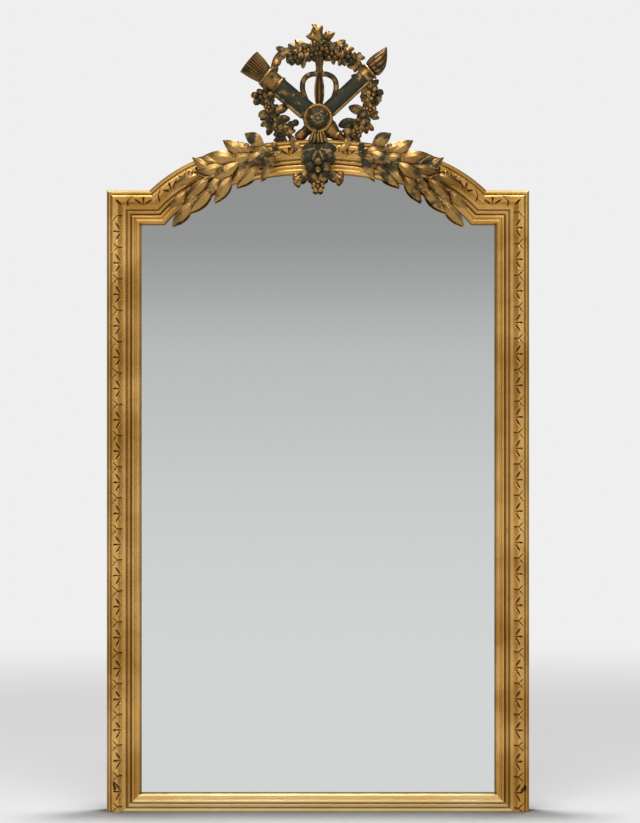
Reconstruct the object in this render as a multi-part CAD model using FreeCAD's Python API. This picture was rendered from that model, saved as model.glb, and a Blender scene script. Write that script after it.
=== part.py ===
import FreeCAD
import Part

import math
import os

# Giltwood overmantel mirror: a softwood chassis carries a carved moulding and a sight moulding,
# a silvered glass with boards behind it, a crest of crossed quiver and torch in a flower wreath,
# and a laurel branch on each haunch of the arch.
# Millimetres and degrees, +Z up. The mirror faces -Y and the wall is behind it at +Y. The origin
# is the middle of the bottom rail's underside. An offset u runs inwards from the outer edge.

V = FreeCAD.Vector

# Outline of the frame
frame_width = 960.0
shoulder_height = 1412.0
shoulder_width = 97.0
arch_rise = 116.0
crown_half_angle = 16.0
haunch_end_angle = 44.0

# Softwood chassis
chassis_thickness = 28.0
chassis_width = 64.0
peg_diameter = 8.0
dowel_diameter = 10.0
dowel_length_share = 0.62
joint_hole_shares = (0.31, 0.69)

# Gilded mouldings, with their sections as shares of width and rise: two numbers end a straight
# line, and four give an arc's middle and its end
carved_width = 36.0
carved_rise = 26.0
carved_section_shares = (
    (0.0, 0.0),
    (0.0, 0.81),
    (0.025, 0.862, 0.072, 0.885),
    (0.167, 0.885),
    (0.222, 0.827, 0.25, 0.731),
    (0.278, 0.731),
    (0.328, 0.923, 0.458, 1.0),
    (0.569, 1.0),
    (0.703, 0.931, 0.778, 0.769),
    (0.847, 0.569, 1.0, 0.46),
    (1.0, 0.0),
)
sight_width = 42.0
sight_rise = 13.0
sight_section_shares = (
    (0.0, 0.0),
    (0.0, 0.92),
    (0.11, 0.92),
    (0.129, 0.692),
    (0.176, 0.692),
    (0.255, 0.977, 0.333, 0.692),
    (0.386, 0.615),
    (0.41, 0.738),
    (0.49, 1.0, 0.576, 0.769),
    (0.619, 0.669, 0.667, 0.738),
    (0.774, 0.815, 0.893, 0.523),
    (0.933, 0.354),
    (1.0, 0.308),
    (1.0, 0.0),
)

# Mirror plate
glass_edge_gap = 2.0
glass_thickness = 5.0
silvering_thickness = 0.5
setting_block_length = 40.0
setting_block_level_shares = (0.15, 0.5, 0.85)
setting_block_foot_share = 0.5

# Backboards and the battens that hold them
board_count = 3
board_thickness = 10.0
board_lap = 8.0
batten_height = 45.0
batten_end_inset = 20.0
lower_batten_rise = 119.0
upper_batten_drop = 170.0
batten_level_shares = (0.0, 0.47, 1.0)
batten_screw_shares = (0.25, 0.75)

# Countersunk screws of the back and of the crest strap
screw_head_diameter = 8.0
screw_head_depth = 2.4
screw_diameter = 4.0
batten_screw_length = 22.0
board_screw_length = 18.0
strap_screw_length = 18.0

# Hangers in the backs of the stiles
hanger_drop = 262.0
hanger_plate_width = 24.0
hanger_plate_height = 55.0
hanger_plate_thickness = 2.0
ring_wire_diameter = 5.0
ring_running_clearance = 0.08
ring_corner_radius = 4.0
ring_end_gap = 0.5
ring_leg_length = 16.0
pocket_margin = 4.0
pocket_cover = 1.0
hanger_screw_head_diameter = 8.0
hanger_screw_head_height = 2.0
hanger_screw_length = 16.0
hanger_screw_shares = (0.36, 0.76)

# Iron strap that carries the crest
strap_width = 25.0
strap_thickness = 4.0
strap_groove_depth = 5.5
strap_head_reach = 24.0
strap_foot_margin = 6.0
strap_screw_shares = (0.25, 0.7)
strap_head_screw_offset = 8.0

# Crossing of quiver and torch, above the crown of the arch
crossing_lift = 47.0

# Quiver
quiver_angle = 140.0
quiver_radius = 22.0
quiver_flat_depth = 1.5
quiver_body_reach = 157.0
quiver_band_width = 6.5
quiver_band_place_shares = (0.77, 1.0)
quiver_band_rise = 3.0
quiver_feather_length = 49.0
quiver_feather_radius = 30.5
quiver_tail_reach = 96.0
quiver_tail_radius = 10.0

# Torch
torch_angle = 43.0
torch_radius = 18.0
torch_reach = 158.0
torch_collar_width = 7.0
torch_collar_rise = 3.5
flame_length = 63.0
flame_radius = 24.0
flame_station_shares = (0.0, 0.3, 0.55, 0.8, 1.0)
flame_radius_shares = (0.74, 1.0, 0.82, 0.46, 0.08)
flame_bend_shares = (0.0, 0.02, 0.06, 0.14, 0.24)
torch_tail_reach = 66.0
torch_tail_radius = 13.0

# Patera on the crossing, and the shell under it
patera_radius = 34.0
patera_depth = 28.0
patera_proud = 12.0
rosette_radius = 23.0
rosette_depth = 6.0
rosette_petals = 8
shell_length = 24.0
shell_half_angle = 24.0
shell_proud = 8.0
shell_rib_count = 5
shell_rib_bulge = 1.9

# Ribbon loops and stem inside the wreath
loop_lift = 60.0
loop_radius = 37.0
loop_wire_radius = 5.2
stem_radius = 10.5
stem_end_radius = 5.0

# Flower wreath. Flowers are angle, distance share of the wreath's radius and size share of the
# flower's radius. Leaves are angle, distance share, heading and length share.
wreath_lift = 44.0
wreath_radius = 118.0
wreath_tube_share = 0.0636
wreath_top_angle = 92.0
flower_radius_share = 0.161
flower_depth = 15.0
flower_petals = 5
flower_valley_share = 0.74
flower_eye_share = 0.34
wreath_leaf_length_share = 0.339
wreath_leaf_width_share = 0.144
upper_left_flower_shares = ((117.0, 0.95, 0.72), (108.0, 0.82, 0.58), (96.0, 1.03, 0.75))
upper_left_leaf_shares = (
    (112.0, 1.0, 150.0, 0.75),
    (112.0, 0.9, 262.0, 0.7),
    (100.0, 1.0, 235.0, 0.9),
)
upper_right_flower_shares = (
    (84.0, 0.9, 0.85),
    (82.0, 1.07, 0.7),
    (66.0, 1.02, 0.75),
    (54.0, 1.03, 0.9),
    (52.0, 0.87, 0.6),
    (41.0, 1.02, 0.75),
)
upper_right_leaf_shares = (
    (70.0, 1.02, 74.0, 0.85),
    (60.0, 1.02, 40.0, 0.75),
    (66.0, 0.95, 250.0, 0.75),
)
lower_left_flower_shares = (
    (181.0, 1.11, 1.0),
    (196.0, 0.9, 0.78),
    (205.0, 1.05, 0.85),
    (220.0, 0.96, 0.85),
)
lower_left_leaf_shares = (
    (210.0, 1.0, 205.0, 0.95),
    (192.0, 0.95, 350.0, 1.1),
    (212.0, 0.95, 20.0, 1.0),
    (226.0, 0.98, 150.0, 0.7),
)
lower_right_flower_shares = (
    (4.0, 1.06, 1.06),
    (-16.0, 1.07, 0.8),
    (-14.0, 0.86, 0.66),
    (-33.0, 0.95, 0.95),
)
lower_right_leaf_shares = (
    (-24.0, 1.0, -20.0, 0.8),
    (-12.0, 0.95, 190.0, 1.2),
    (-30.0, 0.95, 165.0, 1.2),
    (-38.0, 0.98, 200.0, 0.95),
)

# Finial leaves on top of the wreath: heading, length share and width share of each
finial_seat_share = 0.97
finial_calyx_radius = 9.0
finial_leaf_length = 62.0
finial_leaf_width = 20.0
finial_leaf_shares = (
    (95.0, 1.0, 1.0),
    (80.0, 0.9, 0.85),
    (146.0, 0.65, 0.8),
    (40.0, 0.68, 0.85),
    (165.0, 0.84, 0.8),
    (22.0, 0.97, 0.8),
)

# Pendant under the shell: leaves as heading and length share, then the drop of flowers
pendant_leaf_length = 52.0
pendant_leaf_width = 24.0
pendant_root_drop = 18.0
pendant_boss_radius = 9.0
pendant_boss_depth = 9.0
pendant_leaf_shares = ((195.0, 0.85), (-15.0, 0.85), (232.0, 1.05), (-52.0, 1.05), (270.0, 1.1))
pendant_flower_radius = 26.0
pendant_flower_drop = 66.0
pendant_side_shares = ((200.0, 1.0), (-20.0, 1.0))
pendant_bell_radius = 15.0
pendant_bell_drop = 106.0

# Laurel branches. A leaf is its station along the branch, its shift outwards from the branch as
# a share of the leaf's width, its splay from the branch, its length share and its layer.
leaf_length = 82.0
leaf_width = 33.0
leaf_ridge = 7.0
leaf_edge = 3.0
leaf_crest_share = 0.35
leaf_low_share = 0.3
leaf_blank_share = 1.2
branch_start_offset = 95.0
branch_end_offset = 325.0
branch_start_u = 21.0
branch_end_u = 52.0
branch_ground_width = 34.0
branch_ground_depth = 8.0
branch_ground_shares = (0.0, 0.5, 1.0)
branch_ground_shift = 8.0
stalk_width = 8.0
stalk_setback_share = 0.06
layer_step = 3.2
laurel_leaf_shares = (
    (0.11, 0.65, 44.0, 0.6, 0),
    (0.3, 0.4, 48.0, 0.72, 0),
    (0.36, 0.2, 16.0, 1.08, 1),
    (0.62, 0.0, 52.0, 0.72, 0),
    (0.75, 0.35, 1.0, 0.72, 1),
    (0.1, 0.1, -21.0, 0.84, 2),
    (0.36, -0.05, -21.0, 0.97, 2),
    (0.68, -0.3, -21.0, 0.9, 2),
    (0.9, -0.2, -14.0, 0.68, 2),
    (0.02, -0.4, -53.0, 0.76, 1),
    (0.17, -0.78, -32.0, 0.92, 1),
    (0.46, -0.74, -44.0, 0.92, 1),
    (0.67, -1.1, -24.0, 1.0, 1),
    (0.9, -1.1, -17.0, 0.9, 1),
)
berry_radius = 7.0
berry_shares = (
    (0.01, 0.4),
    (0.05, 0.0),
    (0.27, 0.95),
    (0.39, -0.85),
    (0.64, -1.15),
    (0.86, -1.1),
    (0.8, 0.75),
)

# Length by which every cutting shape overruns what it cuts
overrun = 20.0

# Levels in depth, from the wall forwards
chassis_back = chassis_thickness / 2
chassis_front = -chassis_thickness / 2
carved_front = chassis_front - carved_rise
crest_back = chassis_back - strap_groove_depth
crest_axis_y = crest_back + quiver_flat_depth - quiver_radius
glass_back = chassis_front + glass_thickness
silvering_back = glass_back + silvering_thickness
board_back = silvering_back + board_thickness

# Heights and widths that follow
half_width = frame_width / 2
arch_half_span = half_width - shoulder_width
moulding_width = carved_width + sight_width
bottom_rail_height = chassis_width - carved_width
glass_u = chassis_width + glass_edge_gap
crown_top = shoulder_height + arch_rise
crossing_z = crown_top + crossing_lift
wreath_z = crossing_z + wreath_lift
wreath_tube_radius = wreath_tube_share * wreath_radius
flower_radius = flower_radius_share * wreath_radius
wreath_leaf_length = wreath_leaf_length_share * wreath_radius
wreath_leaf_width = wreath_leaf_width_share * wreath_radius

# Radii of the crown and of the haunches: both arcs meet in one tangent and end at the shoulder
sin_crown = math.sin(math.radians(crown_half_angle))
cos_crown = math.cos(math.radians(crown_half_angle))
sin_haunch = math.sin(math.radians(haunch_end_angle)) - sin_crown
cos_haunch = cos_crown - math.cos(math.radians(haunch_end_angle))
arch_determinant = sin_crown * cos_haunch - sin_haunch * (1 - cos_crown)
crown_radius = (cos_haunch * arch_half_span - sin_haunch * arch_rise) / arch_determinant
haunch_radius = (sin_crown * arch_rise - (1 - cos_crown) * arch_half_span) / arch_determinant
crown_z = crown_top - crown_radius
haunch_x = (crown_radius - haunch_radius) * sin_crown
haunch_z = crown_z + (crown_radius - haunch_radius) * cos_crown


# Shapes that many pieces use

def box(x0, x1, y0, y1, z0, z1):
    """Box between two corners."""
    return Part.makeBox(x1 - x0, y1 - y0, z1 - z0, V(x0, y0, z0))


def polygon(points):
    """Flat face inside a closed run of points."""
    return Part.Face(Part.makePolygon([*points, points[0]]))


def front_prism(points):
    """Front-view (x, z) polygon, extruded through the whole depth of the frame."""
    y0 = carved_front - overrun
    face = polygon([V(x, y0, z) for x, z in points])
    return face.extrude(V(0, chassis_back + overrun - y0, 0))


def rod(start, end, radius):
    """Round rod between two points."""
    return Part.makeCylinder(radius, (end - start).Length, start, end - start)


def fused(shapes):
    """One shape out of overlapping ones."""
    return shapes[0].multiFuse(shapes[1:]).removeSplitter()


def mirrored(shape):
    """The same piece on the other side of the frame."""
    return shape.mirror(V(0, 0, 0), V(1, 0, 0))


def both_sides(shapes):
    """The shapes and their mirror images."""
    return [*shapes, *[mirrored(shape) for shape in shapes]]


def polar(x, z, radius, angle):
    """Front-view point at a distance and an angle from a centre."""
    turn = math.radians(angle)
    return x + radius * math.cos(turn), z + radius * math.sin(turn)


def export(name, shape):
    """Write one piece under its own name."""
    solids = shape.Solids
    if len(solids) == 1:
        solids[0].exportStep(f"parts/{name}.step")
    else:
        Part.makeCompound(solids).exportStep(f"parts/{name}.step")


# Lines of the frame

def neck_x(u):
    """Where the shoulder line meets the haunch, at an offset from the outer edge."""
    drop = shoulder_height - u - haunch_z
    return haunch_x + math.sqrt((haunch_radius - u) ** 2 - drop ** 2)


def top_mitre(u):
    """Point on the mitre of the upper right corner."""
    return half_width - u, shoulder_height - u


def foot_mitre(u):
    """Point on the mitre of the lower right corner, where only the sight moulding turns."""
    return half_width - u, u - carved_width


def neck_mitre(u):
    """Point on the mitre where the right shoulder meets the arch."""
    share = u / moulding_width
    start = neck_x(0)
    return start + (neck_x(moulding_width) - start) * share, shoulder_height - u


def left_of(point):
    """Mirror image of a front-view point."""
    return -point[0], point[1]


def arch_point(u, across):
    """Front-view point on the arch at an offset and a distance across, and its slope."""
    side = math.copysign(1, across)
    angle = math.asin(abs(across) / (crown_radius - u))
    if angle > math.radians(crown_half_angle):
        angle = math.asin((abs(across) - haunch_x) / (haunch_radius - u))
        return across, haunch_z + (haunch_radius - u) * math.cos(angle), -side * math.degrees(angle)
    return across, crown_z + (crown_radius - u) * math.cos(angle), -side * math.degrees(angle)


def outline_prism(u, y0, y1):
    """Everything inside the line at an offset from the outer edge, between two depths."""
    half = half_width - u
    foot = u - carved_width
    shoulder = shoulder_height - u
    neck = neck_x(u)
    end_angle = math.atan2(neck - haunch_x, shoulder - haunch_z)
    start_angle = math.radians(crown_half_angle)

    def haunch_point(angle):
        radius = haunch_radius - u
        return V(haunch_x + radius * math.sin(angle), y0, haunch_z + radius * math.cos(angle))

    def flipped(point):
        return V(-point.x, point.y, point.z)

    crown_end = haunch_point(start_angle)
    middle = haunch_point((start_angle + end_angle) / 2)
    corner = V(neck, y0, shoulder)
    crown_point = V(0, y0, crown_top - u)
    right = [V(half, y0, foot), V(half, y0, shoulder), corner]
    edges = [Part.LineSegment(a, b).toShape() for a, b in zip(right, right[1:])]
    edges.append(Part.Arc(corner, middle, crown_end).toShape())
    edges.append(Part.Arc(crown_end, crown_point, flipped(crown_end)).toShape())
    edges.append(Part.Arc(flipped(crown_end), flipped(middle), flipped(corner)).toShape())
    left = [flipped(point) for point in reversed(right)]
    edges += [Part.LineSegment(a, b).toShape() for a, b in zip(left, left[1:])]
    edges.append(Part.LineSegment(left[-1], right[0]).toShape())
    return Part.Face(Part.Wire(edges)).extrude(V(0, y1 - y0, 0))


# Sections and the runs made from them

def section_face(shares, start_u, width, rise, place):
    """Moulding section, set by a place function of the offset u and the height above the chassis."""
    def at(pair):
        return place(start_u + pair[0] * width, pair[1] * rise)

    edges = []
    here = at(shares[0])
    for step in [*shares[1:], shares[0]]:
        there = at(step[-2:])
        if len(step) == 4:
            edges.append(Part.Arc(here, at(step[:2]), there).toShape())
        else:
            edges.append(Part.LineSegment(here, there).toShape())
        here = there
    return Part.Face(Part.Wire(edges))


def chassis_face(place):
    """Plain section of the chassis, behind the mouldings."""
    corners = [(0, 0), (chassis_width, 0), (chassis_width, -chassis_thickness), (0, -chassis_thickness)]
    return polygon([place(u, h) for u, h in corners])


def on_stile(u, h):
    """Section point at the foot of the right stile."""
    return V(half_width - u, chassis_front - h, 0)


def on_shoulder(u, h):
    """Section point at the right end of the right shoulder."""
    return V(half_width, chassis_front - h, shoulder_height - u)


def on_bottom(u, h):
    """Section point at the left end of the bottom."""
    return V(-half_width, chassis_front - h, u - carved_width)


def on_crown(u, h):
    """Section point at the crown of the arch."""
    return V(0, chassis_front - h, crown_top - u)


def stile_run(face):
    """Section run up the whole stile."""
    return face.extrude(V(0, 0, shoulder_height))


def shoulder_run(face):
    """Section run inwards along the right shoulder."""
    return face.extrude(V(-half_width, 0, 0))


def arch_run(face):
    """Section run over the crown and down both haunches, a little past the shoulders."""
    axis = V(0, 1, 0)
    start = face.copy()
    start.rotate(V(0, 0, crown_z), axis, -crown_half_angle)
    crown = start.revolve(V(0, 0, crown_z), axis, 2 * crown_half_angle)
    end = face.copy()
    end.rotate(V(0, 0, crown_z), axis, crown_half_angle)
    haunch_angle = 2 * (haunch_end_angle - crown_half_angle)
    haunch = end.revolve(V(haunch_x, 0, haunch_z), axis, haunch_angle)
    return fused([crown, *both_sides([haunch])])


def stile_region():
    """Front view of the right stile's carved moulding, mitred at the top and square at the foot."""
    inner = moulding_width + overrun
    foot = [(half_width - inner, 0), (half_width + overrun, 0)]
    return front_prism([top_mitre(-overrun), top_mitre(inner), *foot])


def sight_stile_region():
    """Front view of the right sight moulding, mitred at both ends."""
    inner = moulding_width + overrun
    outer = carved_width - overrun
    return front_prism([top_mitre(-overrun), top_mitre(inner), foot_mitre(inner), foot_mitre(outer)])


def shoulder_region():
    """Front view of the right shoulder between its two mitres."""
    inner = moulding_width + overrun
    return front_prism([top_mitre(-overrun), top_mitre(inner), neck_mitre(inner), neck_mitre(-overrun)])


def bottom_region():
    """Front view of the bottom sight moulding between its mitres."""
    right = [foot_mitre(carved_width - overrun), foot_mitre(moulding_width + overrun)]
    return front_prism([*right, *[left_of(point) for point in reversed(right)]])


def arch_region():
    """Front view of the arch between its two mitres."""
    right = [neck_mitre(-overrun), neck_mitre(moulding_width + overrun)]
    high = crown_top + overrun
    top = [(-right[0][0], high), (right[0][0], high)]
    return front_prism([*right, *[left_of(point) for point in reversed(right)], *top])


# Screws

def countersunk_screw(x, z, back, length):
    """Screw driven from the back, its flat head flush with the face at that depth."""
    outline = [
        V(0, 0, 0),
        V(screw_head_diameter / 2, 0, 0),
        V(screw_diameter / 2, -screw_head_depth, 0),
        V(screw_diameter / 2, -length, 0),
        V(0, -length, 0),
    ]
    screw = polygon(outline).revolve(V(0, 0, 0), V(0, 1, 0), 360)
    screw.translate(V(x, back, z))
    return screw


def round_head_screw(x, z, back, length):
    """Screw driven from the back, its flat-topped head standing on the face at that depth."""
    seat = V(x, back, z)
    head = rod(seat, V(x, back + hanger_screw_head_height, z), hanger_screw_head_diameter / 2)
    shank = rod(seat, V(x, back - length, z), screw_diameter / 2)
    return fused([head, shank])


# Mouldings

def carved_face(place):
    """Section of the carved moulding."""
    return section_face(carved_section_shares, 0, carved_width, carved_rise, place)


def sight_face(place):
    """Section of the sight moulding."""
    return section_face(sight_section_shares, carved_width, sight_width, sight_rise, place)


def make_mouldings():
    """Carved and sight mouldings, mitred piece by piece."""
    pieces = {}
    stile = stile_run(carved_face(on_stile)).common(stile_region())
    shoulder = shoulder_run(carved_face(on_shoulder)).common(shoulder_region())
    sight_stile = stile_run(sight_face(on_stile)).common(sight_stile_region())
    sight_shoulder = shoulder_run(sight_face(on_shoulder)).common(shoulder_region())
    pieces["right_carved_moulding"] = stile
    pieces["left_carved_moulding"] = mirrored(stile)
    pieces["right_shoulder_carved_moulding"] = shoulder
    pieces["left_shoulder_carved_moulding"] = mirrored(shoulder)
    pieces["arch_carved_moulding"] = arch_run(carved_face(on_crown)).common(arch_region())
    pieces["right_sight_moulding"] = sight_stile
    pieces["left_sight_moulding"] = mirrored(sight_stile)
    pieces["right_shoulder_sight_moulding"] = sight_shoulder
    pieces["left_shoulder_sight_moulding"] = mirrored(sight_shoulder)
    pieces["arch_sight_moulding"] = arch_run(sight_face(on_crown)).common(arch_region())
    bottom = sight_face(on_bottom).extrude(V(frame_width, 0, 0))
    pieces["bottom_sight_moulding"] = bottom.common(bottom_region())
    return pieces


# Mirror plate and back

def make_plate():
    """Glass, silvering and the setting blocks between the plate and the chassis."""
    pieces = {
        "mirror_glass": outline_prism(glass_u, chassis_front, glass_back),
        "mirror_silvering": outline_prism(glass_u, glass_back, silvering_back),
    }
    half_block = setting_block_length / 2
    inner = half_width - chassis_width
    blocks = []
    for share in setting_block_level_shares:
        z = bottom_rail_height + share * (shoulder_height - chassis_width - bottom_rail_height)
        low = z - half_block
        blocks.append(box(inner - glass_edge_gap, inner, chassis_front, glass_back, low, z + half_block))
    x = setting_block_foot_share * inner
    z = bottom_rail_height
    blocks.append(box(x - half_block, x + half_block, chassis_front, glass_back, z, z + glass_edge_gap))
    pieces["glass_setting_blocks"] = Part.makeCompound(both_sides(blocks))
    return pieces


def backboard(index):
    """One of the boards, counted from the left, half-lapped with the next."""
    width = 2 * (half_width - glass_u) / board_count
    left = glass_u - half_width + index * width
    right = left + width
    outer_left = overrun if index == 0 else 0
    outer_right = overrun if index == board_count - 1 else 0
    half_lap = board_lap / 2
    front, back = silvering_back, board_back
    middle = (front + back) / 2
    points = [
        (left - half_lap - outer_left, front),
        (right - half_lap + outer_right, front),
        (right - half_lap + outer_right, middle),
        (right + half_lap + outer_right, middle),
        (right + half_lap + outer_right, back),
        (left + half_lap - outer_left, back),
        (left + half_lap - outer_left, middle),
        (left - half_lap - outer_left, middle),
    ]
    column = polygon([V(x, y, 0) for x, y in points]).extrude(V(0, 0, crown_top))
    return column.common(outline_prism(glass_u, front, back))


def batten_level(share):
    """Height of the middle of a batten."""
    low = bottom_rail_height + lower_batten_rise
    high = shoulder_height - upper_batten_drop
    return low + share * (high - low)


def batten_block(share):
    """Batten at its level, flush with the back of the chassis."""
    end = half_width - batten_end_inset
    z = batten_level(share)
    return box(-end, end, board_back, chassis_back, z - batten_height / 2, z + batten_height / 2)


def batten_end_screws():
    """Screws through the ends of the battens into the stiles."""
    lap = chassis_width - batten_end_inset
    screws = []
    for share in batten_level_shares:
        for screw_share in batten_screw_shares:
            x = half_width - batten_end_inset - screw_share * lap
            screws.append(countersunk_screw(x, batten_level(share), chassis_back, batten_screw_length))
    return both_sides(screws)


def make_back():
    """Backboards, battens and their screws."""
    names = ("left_backboard", "centre_backboard", "right_backboard")
    boards = [backboard(index) for index in range(board_count)]
    end_screws = batten_end_screws()
    board_screws = []
    for share in batten_level_shares:
        for board in boards:
            x = board.BoundBox.Center.x
            z = batten_level(share)
            board_screws.append(countersunk_screw(x, z, chassis_back, board_screw_length))
    pieces = {name: board.cut(board_screws) for name, board in zip(names, boards)}
    for name, share in zip(("lower_batten", "middle_batten", "upper_batten"), batten_level_shares):
        pieces[name] = batten_block(share).cut([*end_screws, *board_screws])
    pieces["batten_end_screws"] = Part.makeCompound(end_screws)
    pieces["backboard_screws"] = Part.makeCompound(board_screws)
    return pieces


# Hangers

eye_bore_radius = ring_wire_diameter / 2 + ring_running_clearance
eye_radius = eye_bore_radius + hanger_plate_thickness
pocket_floor = chassis_back - 2 * eye_radius - pocket_cover
eye_y = pocket_floor + eye_radius
hanger_x = half_width - chassis_width / 2
hanger_level = shoulder_height - hanger_drop
ring_leg_x = hanger_plate_width / 2 + ring_corner_radius + ring_end_gap


def hanger_pocket():
    """Pocket in the back of the right stile, open to the wall."""
    half = ring_leg_x + ring_wire_diameter / 2 + pocket_margin
    low = hanger_level - ring_corner_radius - ring_leg_length - half
    high = hanger_level + hanger_plate_height + pocket_margin
    return box(hanger_x - half, hanger_x + half, pocket_floor, chassis_back + overrun, low, high)


def hanger_screws():
    """Two round-headed screws through the right hanger plate."""
    face = pocket_floor + hanger_plate_thickness
    levels = [hanger_level + share * hanger_plate_height for share in hanger_screw_shares]
    return [round_head_screw(hanger_x, z, face, hanger_screw_length) for z in levels]


def hanger_plate():
    """Plate on the pocket's floor, rolled at its foot into an eye for the ring."""
    half = hanger_plate_width / 2
    plate = box(
        hanger_x - half,
        hanger_x + half,
        pocket_floor,
        pocket_floor + hanger_plate_thickness,
        hanger_level,
        hanger_level + hanger_plate_height,
    )
    eye_start = V(hanger_x - half, eye_y, hanger_level)
    eye_end = V(hanger_x + half, eye_y, hanger_level)
    rolled = fused([plate, rod(eye_start, eye_end, eye_radius)])
    return rolled.cut([rod(eye_start, eye_end, eye_bore_radius), *hanger_screws()])


def hanging_ring():
    """D-shaped wire ring whose straight bar turns in the eye."""
    wire = ring_wire_diameter / 2
    bar_end = ring_leg_x - ring_corner_radius
    shoulder = hanger_level - ring_corner_radius
    foot = shoulder - ring_leg_length

    def at(x, z):
        return V(hanger_x + x, eye_y, z)

    def bend(centre, start, angle):
        circle = Part.Face(Part.Wire(Part.makeCircle(wire, start, (start - centre).cross(V(0, 1, 0)))))
        return circle.revolve(centre, V(0, 1, 0), angle)

    pieces = [
        rod(at(-bar_end, hanger_level), at(bar_end, hanger_level), wire),
        rod(at(-ring_leg_x, shoulder), at(-ring_leg_x, foot), wire),
        rod(at(ring_leg_x, shoulder), at(ring_leg_x, foot), wire),
        bend(at(-bar_end, shoulder), at(-bar_end, hanger_level), -90),
        bend(at(bar_end, shoulder), at(bar_end, hanger_level), 90),
        bend(at(0, foot), at(ring_leg_x, foot), 180),
    ]
    return fused(pieces)


def make_hangers():
    """Hanger plates, rings and screws of both stiles."""
    plate = hanger_plate()
    ring = hanging_ring()
    return {
        "right_hanger_plate": plate,
        "left_hanger_plate": mirrored(plate),
        "right_hanging_ring": ring,
        "left_hanging_ring": mirrored(ring),
        "hanger_screws": Part.makeCompound(both_sides(hanger_screws())),
    }


# Crest strap

strap_foot = crown_top - chassis_width + strap_foot_margin
strap_face = crest_back + strap_thickness


def strap_block(back):
    """The strap's own shape, or its groove when it runs out at the back."""
    half = strap_width / 2
    return box(-half, half, crest_back, back, strap_foot, crossing_z + strap_head_reach)


def strap_screws():
    """Screws from the strap into the arch and into the quiver."""
    levels = [strap_foot + share * (crown_top - strap_foot) for share in strap_screw_shares]
    places = [(0, z) for z in levels]
    for shift in (-strap_head_screw_offset, strap_head_screw_offset):
        places.append(polar(0, crossing_z, shift, quiver_angle))
    return [countersunk_screw(x, z, strap_face, strap_screw_length) for x, z in places]


def make_strap():
    """Crest strap and its screws."""
    screws = strap_screws()
    return {
        "crest_strap": strap_block(strap_face).cut(screws),
        "crest_strap_screws": Part.makeCompound(screws),
    }


# Chassis

def lap_block(z0, z1, y0, y1):
    """Half of a corner where the right stile and a rail are halved together."""
    return box(half_width - chassis_width, half_width, y0, y1, z0, z1)


def joint_pegs():
    """Wooden pegs through the halved corners."""
    low, high = [share * chassis_width for share in joint_hole_shares]
    places = [
        (low, shoulder_height - high),
        (high, shoulder_height - low),
        (low, bottom_rail_height / 2),
        (high, bottom_rail_height / 2),
    ]
    return both_sides([
        rod(V(half_width - u, chassis_front, z), V(half_width - u, chassis_back, z), peg_diameter / 2)
        for u, z in places
    ])


def neck_dowels():
    """Dowels that join the arch to the shoulders, square to the mitre."""
    x0, z0 = neck_mitre(0)
    x1, z1 = neck_mitre(chassis_width)
    square = V(z1 - z0, 0, x0 - x1).normalize() * (dowel_length_share * shoulder_width / 2)
    dowels = []
    for share in joint_hole_shares:
        middle = V(x0 + share * (x1 - x0), 0, z0 + share * (z1 - z0))
        dowels.append(rod(middle - square, middle + square, dowel_diameter / 2))
    return both_sides(dowels)


def make_chassis():
    """Stiles, rails and arch of the chassis, halved, pegged and dowelled together."""
    pegs = joint_pegs()
    dowels = neck_dowels()
    middle = (chassis_front + chassis_back) / 2
    low = shoulder_height - chassis_width
    stile = stile_run(chassis_face(on_stile))
    stile = stile.cut([
        lap_block(low, shoulder_height, chassis_front, middle),
        lap_block(0, bottom_rail_height, chassis_front, middle),
        hanger_pocket(),
        *hanger_screws(),
        *[batten_block(share) for share in batten_level_shares],
        *batten_end_screws(),
        *pegs,
    ])
    shoulder = shoulder_run(chassis_face(on_shoulder))
    high_end = neck_mitre(-overrun)
    low_end = neck_mitre(moulding_width + overrun)
    square_end = [(half_width, high_end[1]), (half_width, low_end[1])]
    shoulder = shoulder.common(front_prism([*square_end, low_end, high_end]))
    shoulder = shoulder.cut([lap_block(low, shoulder_height, middle, chassis_back), *pegs, *dowels])
    rail = box(-half_width, half_width, chassis_front, chassis_back, 0, bottom_rail_height)
    rail = rail.cut([*both_sides([lap_block(0, bottom_rail_height, middle, chassis_back)]), *pegs])
    arch = arch_run(chassis_face(on_crown)).common(arch_region())
    arch = arch.cut([strap_block(chassis_back + overrun), *strap_screws(), *dowels])
    return {
        "right_stile": stile,
        "left_stile": mirrored(stile),
        "right_shoulder_rail": shoulder,
        "left_shoulder_rail": mirrored(shoulder),
        "bottom_rail": rail,
        "arch_rail": arch,
        "chassis_pegs": Part.makeCompound(pegs),
        "arch_dowels": Part.makeCompound(dowels),
    }


# Carved ornament: leaves, flowers and turned pieces

def leaf(length, width):
    """Leaf along +X from the origin: a pointed oval with a ridge that falls at both ends."""
    half = leaf_blank_share * width / 2
    side = leaf_ridge * (1 - leaf_blank_share)
    low = leaf_low_share * leaf_ridge
    rise = leaf_crest_share * length
    roof = polygon([
        V(-width, -half, -leaf_edge),
        V(-width, half, -leaf_edge),
        V(-width, half, side),
        V(-width, 0, leaf_ridge),
        V(-width, -half, side),
    ]).extrude(V(length + 2 * width, 0, 0))
    back = polygon([
        V(-leaf_edge, -width, -width),
        V(length + leaf_edge, -width, -width),
        V(length + leaf_edge, -width, low),
        V(length - rise, -width, leaf_ridge),
        V(rise, -width, leaf_ridge),
        V(-leaf_edge, -width, low),
    ]).extrude(V(0, 2 * width, 0))
    root = V(0, 0, -width)
    tip = V(length, 0, -width)
    upper = Part.Arc(root, V(length / 2, width / 2, -width), tip).toShape()
    lower = Part.Arc(tip, V(length / 2, -width / 2, -width), root).toShape()
    oval = Part.Face(Part.Wire([upper, lower])).extrude(V(0, 0, 2 * width))
    return roof.common(back).common(oval).Solids[0]


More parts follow.
